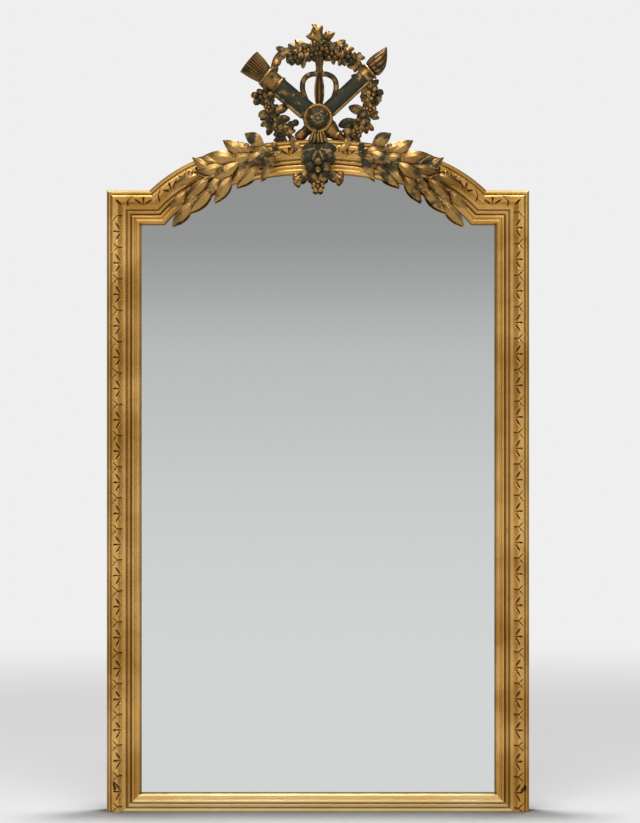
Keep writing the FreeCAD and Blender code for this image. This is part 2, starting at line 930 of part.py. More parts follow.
def placed_leaf(length, width, root, heading):
    """Leaf facing the front, from its root in its heading."""
    turn = FreeCAD.Rotation(V(0, 1, 0), -heading).multiply(FreeCAD.Rotation(V(1, 0, 0), 90))
    shape = leaf(length, width)
    shape.Placement = FreeCAD.Placement(root, turn)
    return shape


def flower(x, z, back, radius, depth, petals):
    """Lobed flower with a round eye, facing the front from its back's depth."""
    step = 360 / petals

    def at(distance, angle):
        px, pz = polar(x, z, distance, angle)
        return V(px, back, pz)

    valley = flower_valley_share * radius
    arcs = []
    for petal in range(petals):
        start = 90 + petal * step
        end = start + step
        arcs.append(Part.Arc(at(valley, start), at(radius, (start + end) / 2), at(valley, end)).toShape())
    lobes = Part.Face(Part.Wire(arcs)).extrude(V(0, -depth, 0))
    eye = Part.makeSphere(flower_eye_share * radius, V(x, back - depth, z))
    return fused([lobes, eye])


def turned_piece(angle, rows):
    """Solid turned about an axis out of the crossing, from its (reach, radius) rows, with a flat back."""
    outline = [V(rows[0][0], 0, 0), *[V(reach, radius, 0) for reach, radius in rows], V(rows[-1][0], 0, 0)]
    solid = polygon(outline).revolve(V(0, 0, 0), V(1, 0, 0), 360)
    return set_on_axis(solid, angle)


def set_on_axis(solid, angle):
    """Move a solid from the X axis to an axis out of the crossing, and flatten its back."""
    centre = V(0, crest_axis_y, crossing_z)
    solid.Placement = FreeCAD.Placement(centre, FreeCAD.Rotation(V(0, 1, 0), -angle))
    far = crest_back + half_width
    behind = box(-half_width, half_width, crest_back, far, shoulder_height, 2 * crossing_z)
    return solid.cut(behind)


def arch_disc():
    """Everything under the outer edge of the crown, which the crest stands on."""
    start = V(0, carved_front, crown_z)
    disc = rod(start, V(0, chassis_back, crown_z), crown_radius)
    disc.rotate(start, V(0, 1, 0), 180)
    return disc


# Crest

def make_quiver():
    """Quiver body, its two bands, the flared feathers of its arrows and its tail."""
    foot = -patera_radius
    band_radius = quiver_radius + quiver_band_rise
    body = turned_piece(quiver_angle, [(foot, quiver_radius), (quiver_body_reach, quiver_radius)])
    tail = turned_piece(quiver_angle, [(-quiver_tail_reach, quiver_tail_radius), (foot, quiver_radius)])
    bands = []
    for share in quiver_band_place_shares:
        reach = share * (quiver_body_reach - quiver_band_width)
        stations = [(reach, band_radius), (reach + quiver_band_width, band_radius)]
        bands.append(turned_piece(quiver_angle, stations).cut(body))
    feather_end = quiver_body_reach + quiver_feather_length
    feathers = [(quiver_body_reach, quiver_radius), (feather_end, quiver_feather_radius)]
    return {
        "quiver_body": body.cut(strap_screws()),
        "quiver_tail": tail.cut(arch_disc()),
        "quiver_bands": Part.makeCompound(bands),
        "arrow_feathers": turned_piece(quiver_angle, feathers),
    }


def make_flame(start):
    """Flame from the torch's collar, swelling and bending up to its tip."""
    rings = []
    for station, radius, bend in zip(flame_station_shares, flame_radius_shares, flame_bend_shares):
        centre = V(start + station * flame_length, 0, bend * flame_length)
        rings.append(Part.Wire(Part.makeCircle(radius * flame_radius, centre, V(1, 0, 0))))
    return set_on_axis(Part.makeLoft(rings, True, False), torch_angle)


def make_torch(quiver):
    """Torch shaft, collar, flame and tail, butted against the quiver."""
    collar_radius = torch_radius + torch_collar_rise
    collar_end = torch_reach + torch_collar_width
    collar = [(torch_reach, collar_radius), (collar_end, collar_radius)]
    shaft = turned_piece(torch_angle, [(0, torch_radius), (torch_reach, torch_radius)])
    tail = turned_piece(torch_angle, [(-torch_tail_reach, torch_tail_radius), (0, torch_radius)])
    return {
        "torch_shaft": shaft.cut([quiver["quiver_body"], strap_block(strap_face), *strap_screws()]),
        "torch_tail": tail.cut([quiver["quiver_body"], quiver["quiver_tail"], arch_disc(), *strap_screws()]),
        "torch_collar": turned_piece(torch_angle, collar),
        "torch_flame": make_flame(collar_end),
    }


def make_patera(crossed):
    """Patera saddled on the crossing, its rosette, and the ribbed shell that hangs from its rim."""
    front = crest_axis_y - quiver_radius - patera_proud
    disc = rod(V(0, front, crossing_z), V(0, front + patera_depth, crossing_z), patera_radius)
    shell_seat = carved_front
    step = 2 * shell_half_angle / shell_rib_count
    rim = patera_radius + shell_length
    bulge = rim + shell_rib_bulge

    def at(distance, angle):
        x, z = polar(0, crossing_z, distance, angle)
        return V(x, shell_seat, z)

    first = 270 - shell_half_angle
    last = 270 + shell_half_angle
    edges = [Part.LineSegment(at(patera_radius, first), at(rim, first)).toShape()]
    for rib in range(shell_rib_count):
        start = first + rib * step
        end = start + step
        edges.append(Part.Arc(at(rim, start), at(bulge, (start + end) / 2), at(rim, end)).toShape())
    edges.append(Part.LineSegment(at(rim, last), at(patera_radius, last)).toShape())
    rim_end = at(patera_radius, first)
    edges.append(Part.Arc(at(patera_radius, last), at(patera_radius, 270), rim_end).toShape())
    shell = Part.Face(Part.Wire(edges)).extrude(V(0, -shell_proud, 0))
    rosette = flower(0, crossing_z, front, rosette_radius, rosette_depth, rosette_petals)
    return {
        "patera": disc.cut([*crossed, *strap_screws()]),
        "patera_rosette": rosette.cut(disc),
        "crest_shell": shell,
    }


def ring_arc(x, z, radius, tube, start, end):
    """Round bar bent to an arc in the crest's plane, between two angles."""
    px, pz = polar(x, z, radius, start)
    along = polar(0, 0, 1, start + 90)
    circle = Part.makeCircle(tube, V(px, crest_axis_y, pz), V(along[0], 0, along[1]))
    return Part.Face(Part.Wire(circle)).revolve(V(x, crest_axis_y, z), V(0, -1, 0), end - start)


def wreath_angle(angle):
    """Angle on the wreath where an axis out of the crossing passes it."""
    sine = math.sin(math.radians(angle))
    cosine = math.cos(math.radians(angle))
    reach = wreath_lift * sine + math.sqrt(wreath_radius ** 2 - (wreath_lift * cosine) ** 2)
    return math.degrees(math.atan2(reach * sine - wreath_lift, reach * cosine))


def wreath_foot_angle():
    """Angle from straight down at which the wreath meets the outer edge of the arch."""
    drop = wreath_z - crown_z
    cosine = (wreath_radius ** 2 + drop ** 2 - crown_radius ** 2) / (2 * wreath_radius * drop)
    return math.degrees(math.acos(cosine))


def wreath_run(start, end, flowers, leaves):
    """One run of the wreath with its flowers and leaves."""
    pieces = [ring_arc(0, wreath_z, wreath_radius, wreath_tube_radius, start, end)]
    for angle, distance, size in flowers:
        x, z = polar(0, wreath_z, distance * wreath_radius, angle)
        pieces.append(flower(x, z, crest_axis_y, size * flower_radius, flower_depth, flower_petals))
    for angle, distance, heading, size in leaves:
        x, z = polar(0, wreath_z, distance * wreath_radius, angle)
        root = V(x, crest_axis_y - wreath_tube_radius, z)
        pieces.append(placed_leaf(size * wreath_leaf_length, wreath_leaf_width, root, heading))
    return fused(pieces)


def make_wreath(crossed):
    """Four runs of the wreath, cut to the quiver, the torch, the arch and each other."""
    left = wreath_angle(quiver_angle)
    right = wreath_angle(torch_angle)
    foot = wreath_foot_angle()
    upper_left = wreath_run(wreath_top_angle, left, upper_left_flower_shares, upper_left_leaf_shares)
    upper_right = wreath_run(right, wreath_top_angle, upper_right_flower_shares, upper_right_leaf_shares)
    lower_left = wreath_run(left, 270 - foot, lower_left_flower_shares, lower_left_leaf_shares)
    lower_right = wreath_run(foot - 90, right, lower_right_flower_shares, lower_right_leaf_shares)
    upper_left = upper_left.cut(crossed)
    return {
        "wreath_upper_left": upper_left,
        "wreath_upper_right": upper_right.cut([*crossed, upper_left]),
        "wreath_lower_left": lower_left.cut([*crossed, arch_disc()]),
        "wreath_lower_right": lower_right.cut([*crossed, arch_disc()]),
    }


def make_centre(crossed, wreath, patera):
    """Stem from the patera up to the wreath, and the ribbon loop on each side of it."""
    foot = crossing_z
    top = wreath_z + wreath_radius
    middle = crossing_z + loop_lift
    outline = [
        Part.LineSegment(V(0, crest_axis_y, top), V(0, crest_axis_y, foot)).toShape(),
        Part.LineSegment(V(0, crest_axis_y, foot), V(stem_end_radius, crest_axis_y, foot)).toShape(),
        Part.Arc(
            V(stem_end_radius, crest_axis_y, foot),
            V(stem_radius, crest_axis_y, middle),
            V(stem_end_radius, crest_axis_y, top),
        ).toShape(),
        Part.LineSegment(V(stem_end_radius, crest_axis_y, top), V(0, crest_axis_y, top)).toShape(),
    ]
    stem = Part.Face(Part.Wire(outline)).revolve(V(0, crest_axis_y, 0), V(0, 0, 1), 360)
    stem = stem.cut([*crossed, *wreath, patera])
    loop = ring_arc(0, middle, loop_radius, loop_wire_radius, -90, 90)
    around = [*crossed, stem, patera]
    return {
        "ribbon_stem": stem,
        "right_ribbon_loop": loop.cut(around),
        "left_ribbon_loop": mirrored(loop).cut(around),
    }


def make_finial(wreath):
    """Leaves that stand on top of the wreath."""
    seat = crest_back - leaf_edge
    root = V(0, seat, wreath_z + finial_seat_share * wreath_radius)
    leaves = [
        placed_leaf(length * finial_leaf_length, width * finial_leaf_width, root, heading)
        for heading, length, width in finial_leaf_shares
    ]
    calyx = rod(V(0, crest_back, root.z), V(0, crest_axis_y, root.z), finial_calyx_radius)
    return {"finial_leaves": fused([calyx, *leaves]).cut(wreath)}


def make_pendant(shell):
    """Leaves under the shell, and the flowers that hang from them in front of the glass."""
    root_z = crown_top - pendant_root_drop
    root = V(0, carved_front - leaf_edge, root_z)
    leaves = [
        placed_leaf(share * pendant_leaf_length, pendant_leaf_width, root, heading)
        for heading, share in pendant_leaf_shares
    ]
    boss_end = V(0, carved_front - pendant_boss_depth, root_z)
    boss = rod(V(0, carved_front, root_z), boss_end, pendant_boss_radius)
    leaves = fused([boss, *leaves]).cut(shell)
    flower_z = crown_top - pendant_flower_drop
    bell_z = crown_top - pendant_bell_drop
    back = carved_front - leaf_edge
    sides = [
        placed_leaf(share * pendant_leaf_length, pendant_leaf_width, V(0, back, flower_z), heading)
        for heading, share in pendant_side_shares
    ]
    middle = back - flower_depth / 2
    drop = fused([
        flower(0, flower_z, back, pendant_flower_radius, flower_depth, flower_petals),
        flower(0, bell_z, back, pendant_bell_radius, flower_depth, flower_petals),
        rod(V(0, middle, flower_z), V(0, middle, bell_z), stem_end_radius),
        *sides,
    ])
    return {"pendant_leaves": leaves, "pendant_flowers": drop.cut(leaves)}


# Laurel branches

def branch_point(station):
    """Front-view point of the right branch at a station from its tied end, and its slope."""
    u = branch_start_u + station * (branch_end_u - branch_start_u)
    across = branch_start_offset + station * (branch_end_offset - branch_start_offset)
    return arch_point(u, across)


def branch_ground():
    """Ground that the leaves of the right branch spring from, on the flat of the carved moulding."""
    start, middle, end = [beside_branch(station, 0, carved_front)[0] for station in branch_ground_shares]
    centre = Part.Arc(start, middle, end).toShape().Curve.Center
    outwards = (start - centre).normalize()
    inner = start - outwards * (branch_ground_shift + branch_ground_width / 2)
    outer = inner + outwards * branch_ground_width
    deep = V(0, -branch_ground_depth, 0)
    sweep = math.degrees((start - centre).getAngle(end - centre))
    return polygon([inner, outer, outer + deep, inner + deep]).revolve(centre, V(0, 1, 0), sweep)


def beside_branch(station, shift, depth):
    """Point beside the right branch, shifted outwards by a share of a leaf's width, and its slope."""
    x, z, slope = branch_point(station)
    side_x, side_z = polar(x, z, shift * leaf_width, slope + 90)
    return V(side_x, depth, side_z), slope


def branch_stalk(station, shift):
    """Short stalk from the right branch out to the root of a leaf or a berry."""
    start, slope = beside_branch(station - stalk_setback_share, 0, carved_front)
    end, slope = beside_branch(station, shift, carved_front)
    along = (end - start).normalize() * stalk_width
    side = along.cross(V(0, 1, 0)) / 2
    end += along
    back = polygon([start - side, start + side, end + side, end - side])
    return back.extrude(V(0, -branch_ground_depth, 0))


def make_laurel():
    """Right laurel branch, with its leaves in three rows and its berries."""
    pieces = [branch_ground()]
    for station, shift, splay, size, layer in laurel_leaf_shares:
        root, slope = beside_branch(station, shift, carved_front - leaf_edge - layer * layer_step)
        pieces.append(branch_stalk(station, shift))
        pieces.append(placed_leaf(size * leaf_length, math.sqrt(size) * leaf_width, root, slope + splay))
    for station, shift in berry_shares:
        centre, slope = beside_branch(station, shift, carved_front - branch_ground_depth)
        pieces.append(branch_stalk(station, shift))
        pieces.append(Part.makeSphere(berry_radius, centre))
    return fused(pieces)


def make_crest():
    """All pieces of the crest, each cut to the ones that it is glued against."""
    quiver = make_quiver()
    torch = make_torch(quiver)
    crossed = [*quiver.values(), *torch.values()]
    patera = make_patera(crossed)
    wreath = make_wreath([*crossed, patera["patera"]])
    centre = make_centre(crossed, list(wreath.values()), patera["patera"])
    finial = make_finial([*wreath.values(), centre["ribbon_stem"]])
    pendant = make_pendant(patera["crest_shell"])
    return {**quiver, **torch, **patera, **wreath, **centre, **finial, **pendant}


def make_branches():
    """Both laurel branches."""
    right = make_laurel()
    return {"right_laurel_branch": right, "left_laurel_branch": mirrored(right)}


os.makedirs("parts", exist_ok=True)
makers = (
    make_chassis,
    make_mouldings,
    make_plate,
    make_back,
    make_hangers,
    make_strap,
    make_crest,
    make_branches,
)
for maker in makers:
    for name, shape in maker().items():
        export(name, shape)
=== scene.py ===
"""Looks of a tall giltwood mirror with a carved crest. Metres, +Z up, the front towards -Y."""

import logging
import math
from collections.abc import Callable, Sequence
from dataclasses import dataclass, field, replace
from enum import Enum
from functools import cached_property

import bmesh
import bpy
import numpy as np
from mathutils import Matrix, Vector


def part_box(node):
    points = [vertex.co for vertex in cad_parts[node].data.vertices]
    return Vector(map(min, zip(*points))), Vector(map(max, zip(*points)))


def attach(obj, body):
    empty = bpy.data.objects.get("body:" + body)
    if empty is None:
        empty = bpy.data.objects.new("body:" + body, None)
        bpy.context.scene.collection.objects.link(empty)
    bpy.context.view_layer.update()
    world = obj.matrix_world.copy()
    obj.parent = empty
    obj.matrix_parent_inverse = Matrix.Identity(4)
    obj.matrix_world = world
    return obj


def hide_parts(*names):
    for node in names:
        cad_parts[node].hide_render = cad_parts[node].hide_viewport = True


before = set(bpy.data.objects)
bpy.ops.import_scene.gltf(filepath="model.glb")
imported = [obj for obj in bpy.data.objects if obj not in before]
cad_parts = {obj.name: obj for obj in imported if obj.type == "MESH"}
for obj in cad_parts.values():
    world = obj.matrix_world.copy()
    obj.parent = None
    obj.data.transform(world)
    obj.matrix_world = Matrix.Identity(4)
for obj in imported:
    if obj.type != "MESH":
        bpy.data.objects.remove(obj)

log = logging.getLogger("giltwood_mirror")

BODY = "mirror"
ORIGIN = (0.0, 0.0, 0.0)
SMOOTH_ANGLE = math.radians(38.0)
MERGE_DISTANCE = 0.00002
# Point attribute of painted shade in cuts, valleys and bands, and of bare ground in chips.
CUT_SHADE_AND_WEAR = "carving"
WIRE_ROUNDNESS = 4
HOLLOW_SAMPLES = 6

Point = tuple[float, float]
Colour = tuple[float, float, float, float]
Limits = tuple[float, float, float, float]
Points = tuple[Point, ...]
Shares = tuple[float, ...]
Piece = bpy.types.Object
Material = bpy.types.Material
Socket = bpy.types.NodeSocket
Array = np.ndarray


class Slot(Enum):
    """Material slots of the record, named beside each new piece's finish."""

    GILDING = "gilding"
    CREST_GILDING = "crest_gilding"
    CREST_PATINA = "crest_patina"


class Taper(Enum):
    """How a gouge cut narrows between its ends."""

    VEIN = "vein"
    LENS = "lens"
    TEAR = "tear"


class Grain(Enum):
    """Direction of the grain in a piece of wood."""

    UPRIGHT = "z"
    ACROSS = "x"


# Bench work that all pieces share

def clear_bench() -> None:
    """Leave edit mode and deselect everything."""
    if bpy.context.mode != "OBJECT":
        bpy.ops.object.mode_set(mode="OBJECT")
    bpy.ops.object.select_all(action="DESELECT")


def pick(*pieces: Piece) -> None:
    """Select these pieces alone and make the first one active."""
    clear_bench()
    for piece in pieces:
        piece.select_set(True)
    bpy.context.view_layer.objects.active = pieces[0]


def drop(piece: Piece) -> None:
    """Take a pattern that has been copied off the bench."""
    bpy.data.meshes.remove(piece.data)


def added(operator: Callable[..., set[str]], **settings: object) -> Piece:
    """Add a primitive to a clear bench, by the operator and what it is given."""
    clear_bench()
    operator(**settings)
    return bpy.context.object


class Editing:
    """Edit mode on one piece, with its points picked by their place."""

    def __init__(self, piece: Piece) -> None:
        """Keep the piece that is edited."""
        self.piece = piece

    def __enter__(self) -> "Editing":
        """Enter edit mode with every point picked."""
        pick(self.piece)
        bpy.ops.object.mode_set(mode="EDIT")
        bpy.ops.mesh.select_mode(type="VERT")
        bpy.ops.mesh.select_all(action="SELECT")
        return self

    def __exit__(self, *error: object) -> None:
        """Go back to object mode."""
        bpy.ops.object.mode_set(mode="OBJECT")

    def select(self, test: Callable[[Vector], bool]) -> None:
        """Pick the points whose place passes a test.

        Args:
            test: Says for a point's place whether it is picked.
        """
        mesh = bmesh.from_edit_mesh(self.piece.data)
        for point in mesh.verts:
            point.select_set(test(point.co))
        mesh.select_flush_mode()
        bmesh.update_edit_mesh(self.piece.data)

    def move(self, x: float = 0.0, z: float = 0.0) -> None:
        """Move the picked points across or up."""
        bpy.ops.transform.translate(value=(x, 0.0, z))

    def resize(self, factors: Sequence[float], centre: Sequence[float] = ORIGIN) -> None:
        """Resize the picked points about a centre."""
        bpy.ops.transform.resize(value=factors, center_override=centre)

    def turn(self, angle: float, axis: str, centre: Sequence[float] = ORIGIN) -> None:
        """Turn the picked points about an axis through a centre."""
        bpy.ops.transform.rotate(value=-angle, orient_axis=axis, center_override=centre)

    def close(self) -> None:
        """Merge doubles, fill open ends and point all faces outwards."""
        bpy.ops.mesh.select_all(action="SELECT")
        bpy.ops.mesh.remove_doubles(threshold=MERGE_DISTANCE)
        bpy.ops.mesh.fill_holes(sides=0)
        bpy.ops.mesh.normals_make_consistent(inside=False)


def apply_modifier(piece: Piece, kind: str, **settings: object) -> None:
    """Add a modifier to a piece and apply it.

    Args:
        piece: The piece to finish.
        kind: Blender's name for the modifier.
        settings: Values set on the modifier.
    """
    pick(piece)
    modifier = piece.modifiers.new(kind.lower(), kind)
    for name, value in settings.items():
        setattr(modifier, name, value)
    bpy.ops.object.modifier_apply(modifier=modifier.name)


def subdivide(piece: Piece, levels: int) -> None:
    """Smooth a piece by subdivision."""
    apply_modifier(piece, "SUBSURF", levels=levels, render_levels=levels)


def copied(pattern: Piece, matrix: Matrix) -> Piece:
    """Copy a pattern into place, with a mesh of its own.

    Args:
        pattern: The piece that was modelled once.
        matrix: Where the copy goes.

    Returns:
        The copy, with its place in its mesh.
    """
    mesh = pattern.data.copy()
    mesh.transform(matrix)
    if matrix.determinant() < 0:
        mesh.flip_normals()
    copy = bpy.data.objects.new(pattern.name, mesh)
    bpy.context.collection.objects.link(copy)
    return copy


def mirrored(piece: Piece) -> Piece:
    """Copy a piece to the other side of the mirror's middle."""
    return copied(piece, Matrix.Scale(-1.0, 4, Vector((1.0, 0.0, 0.0))))


def joined(pieces: Sequence[Piece]) -> Piece:
    """Join pieces into one object."""
    pick(*pieces)
    if len(pieces) > 1:
        bpy.ops.object.join()
    return bpy.context.view_layer.objects.active


def settle(piece: Piece, name: str, material: Material, slot: Slot, *nodes: str) -> None:
    """Dress a finished piece and let it ride on the mirror.

    Args:
        piece: The finished piece.
        name: Its name.
        material: Its finish.
        slot: The record's slot that the finish belongs to; not used.
        nodes: Solids that the piece stands for.
    """
    piece.name = name
    piece.data.materials.clear()
    piece.data.materials.append(material)
    pick(piece)
    bpy.ops.object.shade_smooth_by_angle(angle=SMOOTH_ANGLE)
    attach(piece, BODY)
    if nodes:
        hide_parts(*nodes)
    log.info("%s has %d faces", piece.name, len(piece.data.polygons))


def carve(piece: Piece, node: str, material: Material, slot: Slot = Slot.CREST_GILDING) -> None:
    """Settle a carved piece that is named after the solid it stands for.

    Args:
        piece: The finished piece.
        node: The solid.
        material: Finish of the piece.
        slot: The record's slot that the finish belongs to.
    """
    settle(piece, f"carved_{node}", material, slot, node)


def facing_front(
    place: Vector, heading: float, size: float = 1.0, pitch: float = 0.0, roll: float = 0.0
) -> Matrix:
    """Matrix that sets a leaf or a flower on the front of the mirror.

    Args:
        place: Where its root goes.
        heading: Angle of its length in the front view, in degrees.
        size: Share of the pattern's size.
        pitch: How far its tip leans back, in degrees.
        roll: How far it turns about its length, in degrees.

    Returns:
        The matrix.
    """
    turn = math.radians(heading)
    along = Vector((math.cos(turn), 0.0, math.sin(turn)))
    out = Vector((0.0, -1.0, 0.0))
    basis = Matrix((along, out.cross(along), out)).transposed().to_4x4()
    lean = Matrix.Rotation(math.radians(pitch), 4, "Y") @ Matrix.Rotation(math.radians(roll), 4, "X")
    return Matrix.Translation(place) @ basis @ lean @ Matrix.Scale(size, 4)


def polar(centre: Vector, distance: float, angle: float) -> Vector:
    """Point at a distance and an angle in degrees from a centre, in the front view."""
    turn = math.radians(angle)
    return centre + Vector((distance * math.cos(turn), 0.0, distance * math.sin(turn)))


def forward(place: Vector, lift: float) -> Vector:
    """Point in front of a place."""
    return place - Vector((0.0, lift, 0.0))


def turned(stations: Sequence[Point], sides: int = 48) -> Piece:
    """Draw a ring up along +Z from station to station, closed at both ends.

    Args:
        stations: Reach and radius of each ring.
        sides: Points in a ring.

    Returns:
        The piece.
    """
    reach, radius = stations[0]
    ring = bpy.ops.mesh.primitive_circle_add
    piece = added(ring, vertices=sides, radius=radius, fill_type="NGON")
    with Editing(piece) as edit:
        edit.move(z=reach)
        for next_reach, next_radius in stations[1:]:
            step = (0.0, 0.0, next_reach - reach)
            bpy.ops.mesh.extrude_region_move(TRANSFORM_OT_translate={"value": step})
            factor = next_radius / radius
            edit.resize((factor, factor, 1.0), (0.0, 0.0, next_reach))
            reach, radius = next_reach, next_radius
        edit.close()
    return piece


def fluted(piece: Piece, sides: int, share: float, dark: float = 0.0) -> None:
    """Draw every other line of a turned piece in towards its axis.

    Args:
        piece: The turned piece, along +Z.
        sides: Points in its rings.
        share: Radius share that the drawn lines keep.
        dark: Share of painted shade along the drawn lines.
    """
    step = 2 * math.pi / sides

    def in_valley(place: Vector) -> bool:
        """Say whether a point lies on a line that becomes a valley."""
        return round(math.atan2(place.y, place.x) / step) % 2 == 1

    with Editing(piece) as edit:
        edit.select(in_valley)
        edit.resize((share, share, 1.0))
    # Each valley is marked for painted shade.
    marks = piece.data.attributes.new(CUT_SHADE_AND_WEAR, "FLOAT", "POINT")
    for mark, point in zip(marks.data, piece.data.vertices):
        mark.value = dark if in_valley(point.co) else 0.0


def bent_wire(points: Sequence[Vector], thickness: float) -> Piece:
    """Run a round wire along a smooth curve through a few points.

    Args:
        points: What the wire passes through.
        thickness: Radius of the wire.

    Returns:
        The wire as a mesh.
    """
    curve = added(bpy.ops.curve.primitive_bezier_curve_add).data
    knots = curve.splines[0].bezier_points
    knots.add(len(points) - len(knots))
    for knot, point in zip(knots, points):
        knot.co = point
        knot.handle_left_type = "AUTO"
        knot.handle_right_type = "AUTO"
    curve.dimensions = "3D"
    curve.bevel_depth = thickness
    curve.bevel_resolution = WIRE_ROUNDNESS
    curve.use_fill_caps = True
    bpy.ops.object.convert(target="MESH")
    piece = bpy.context.object
    with Editing(piece) as edit:
        edit.close()
    return piece


def flat_backed(piece: Piece, back: float) -> None:
    """Saw off what stands behind a depth.

    Args:
        piece: The piece in its place.
        back: Depth of the flat back.
    """
    with Editing(piece):
        cut = {"plane_co": (0.0, back, 0.0), "plane_no": (0.0, 1.0, 0.0)}
        bpy.ops.mesh.bisect(**cut, use_fill=True, clear_outer=True)


# Finishes

class NodeBench:
    """Node tree of a finish or of the world while it is put together."""

    def __init__(self, tree: bpy.types.NodeTree) -> None:
        """Keep the tree."""
        self.tree = tree

    def node(self, kind: str, inputs: dict | None = None, **settings: object) -> bpy.types.Node:
        """Add a node.

        Args:
            kind: Blender's name for the node.
            inputs: Values or sockets for its inputs.
            settings: Values set on the node itself.

        Returns:
            The node.
        """
        node = self.tree.nodes.new(kind)
        for name, value in settings.items():
            setattr(node, name, value)
        for name, value in (inputs or {}).items():
            self.feed(node.inputs[name], value)
        return node

    def feed(self, socket: Socket, value: object) -> None:
        """Link a socket to another one, or set its value."""
        if isinstance(value, Socket):
            self.tree.links.new(value, socket)
        else:
            socket.default_value = value

    def step(
        self, value: Socket, low: float, high: float, start: float = 0.0, end: float = 1.0
    ) -> Socket:
        """Smooth step of a value between two limits."""
        inputs = {"Value": value, "From Min": low, "From Max": high, "To Min": start, "To Max": end}
        return self.node("ShaderNodeMapRange", inputs, interpolation_type="SMOOTHSTEP").outputs[0]

    def maths(self, operation: str, first: object, second: object = 0.0) -> Socket:
        """Sum, product or the like of two values."""
        return self.node("ShaderNodeMath", {0: first, 1: second}, operation=operation).outputs[0]

    def blend(self, share: object, first: object, second: object) -> Socket:
        """Mix two colours by a share."""
        inputs = {0: share, 6: first, 7: second}
        return self.node("ShaderNodeMix", inputs, data_type="RGBA").outputs[2]


class Recipe(NodeBench):
    """Node tree of one finish."""

    def __init__(self, name: str) -> None:
        """Start a material with its shader and its place on the object."""
        self.material = bpy.data.materials.new(name)
        self.material.use_nodes = True
        super().__init__(self.material.node_tree)
        self.shader = self.tree.nodes["Principled BSDF"]
        self.place = self.node("ShaderNodeTexCoord").outputs["Object"]

    def set(self, **values: object) -> None:
        """Set or link sockets of the shader, with spaces written as underscores."""
        for name, value in values.items():
            self.feed(self.shader.inputs[name.replace("_", " ")], value)

    def stretched(self, factors: Sequence[float]) -> Socket:
        """Place on the object, stretched along the axes."""
        return self.node("ShaderNodeMapping", {"Vector": self.place, "Scale": factors}).outputs[0]

    def noise(self, scale: float, detail: float, place: Socket | None = None) -> Socket:
        """Cloudy noise of a scale and detail."""
        inputs = {"Vector": place or self.place, "Scale": scale, "Detail": detail}
        return self.node("ShaderNodeTexNoise", inputs).outputs["Fac"]

    def hollow(self, distance: float, inside: bool = False) -> Socket:
        """Openness of the surface: low in hollows, or low on edges when looked at from inside."""
        settings = {"inside": inside, "samples": HOLLOW_SAMPLES, "only_local": inside}
        return self.node("ShaderNodeAmbientOcclusion", {"Distance": distance}, **settings).outputs["AO"]

    def bump(self, height: Socket, strength: float, distance: float) -> None:
        """Roughen the surface by a height."""
        inputs = {"Height": height, "Strength": strength, "Distance": distance}
        self.set(Normal=self.node("ShaderNodeBump", inputs).outputs[0])


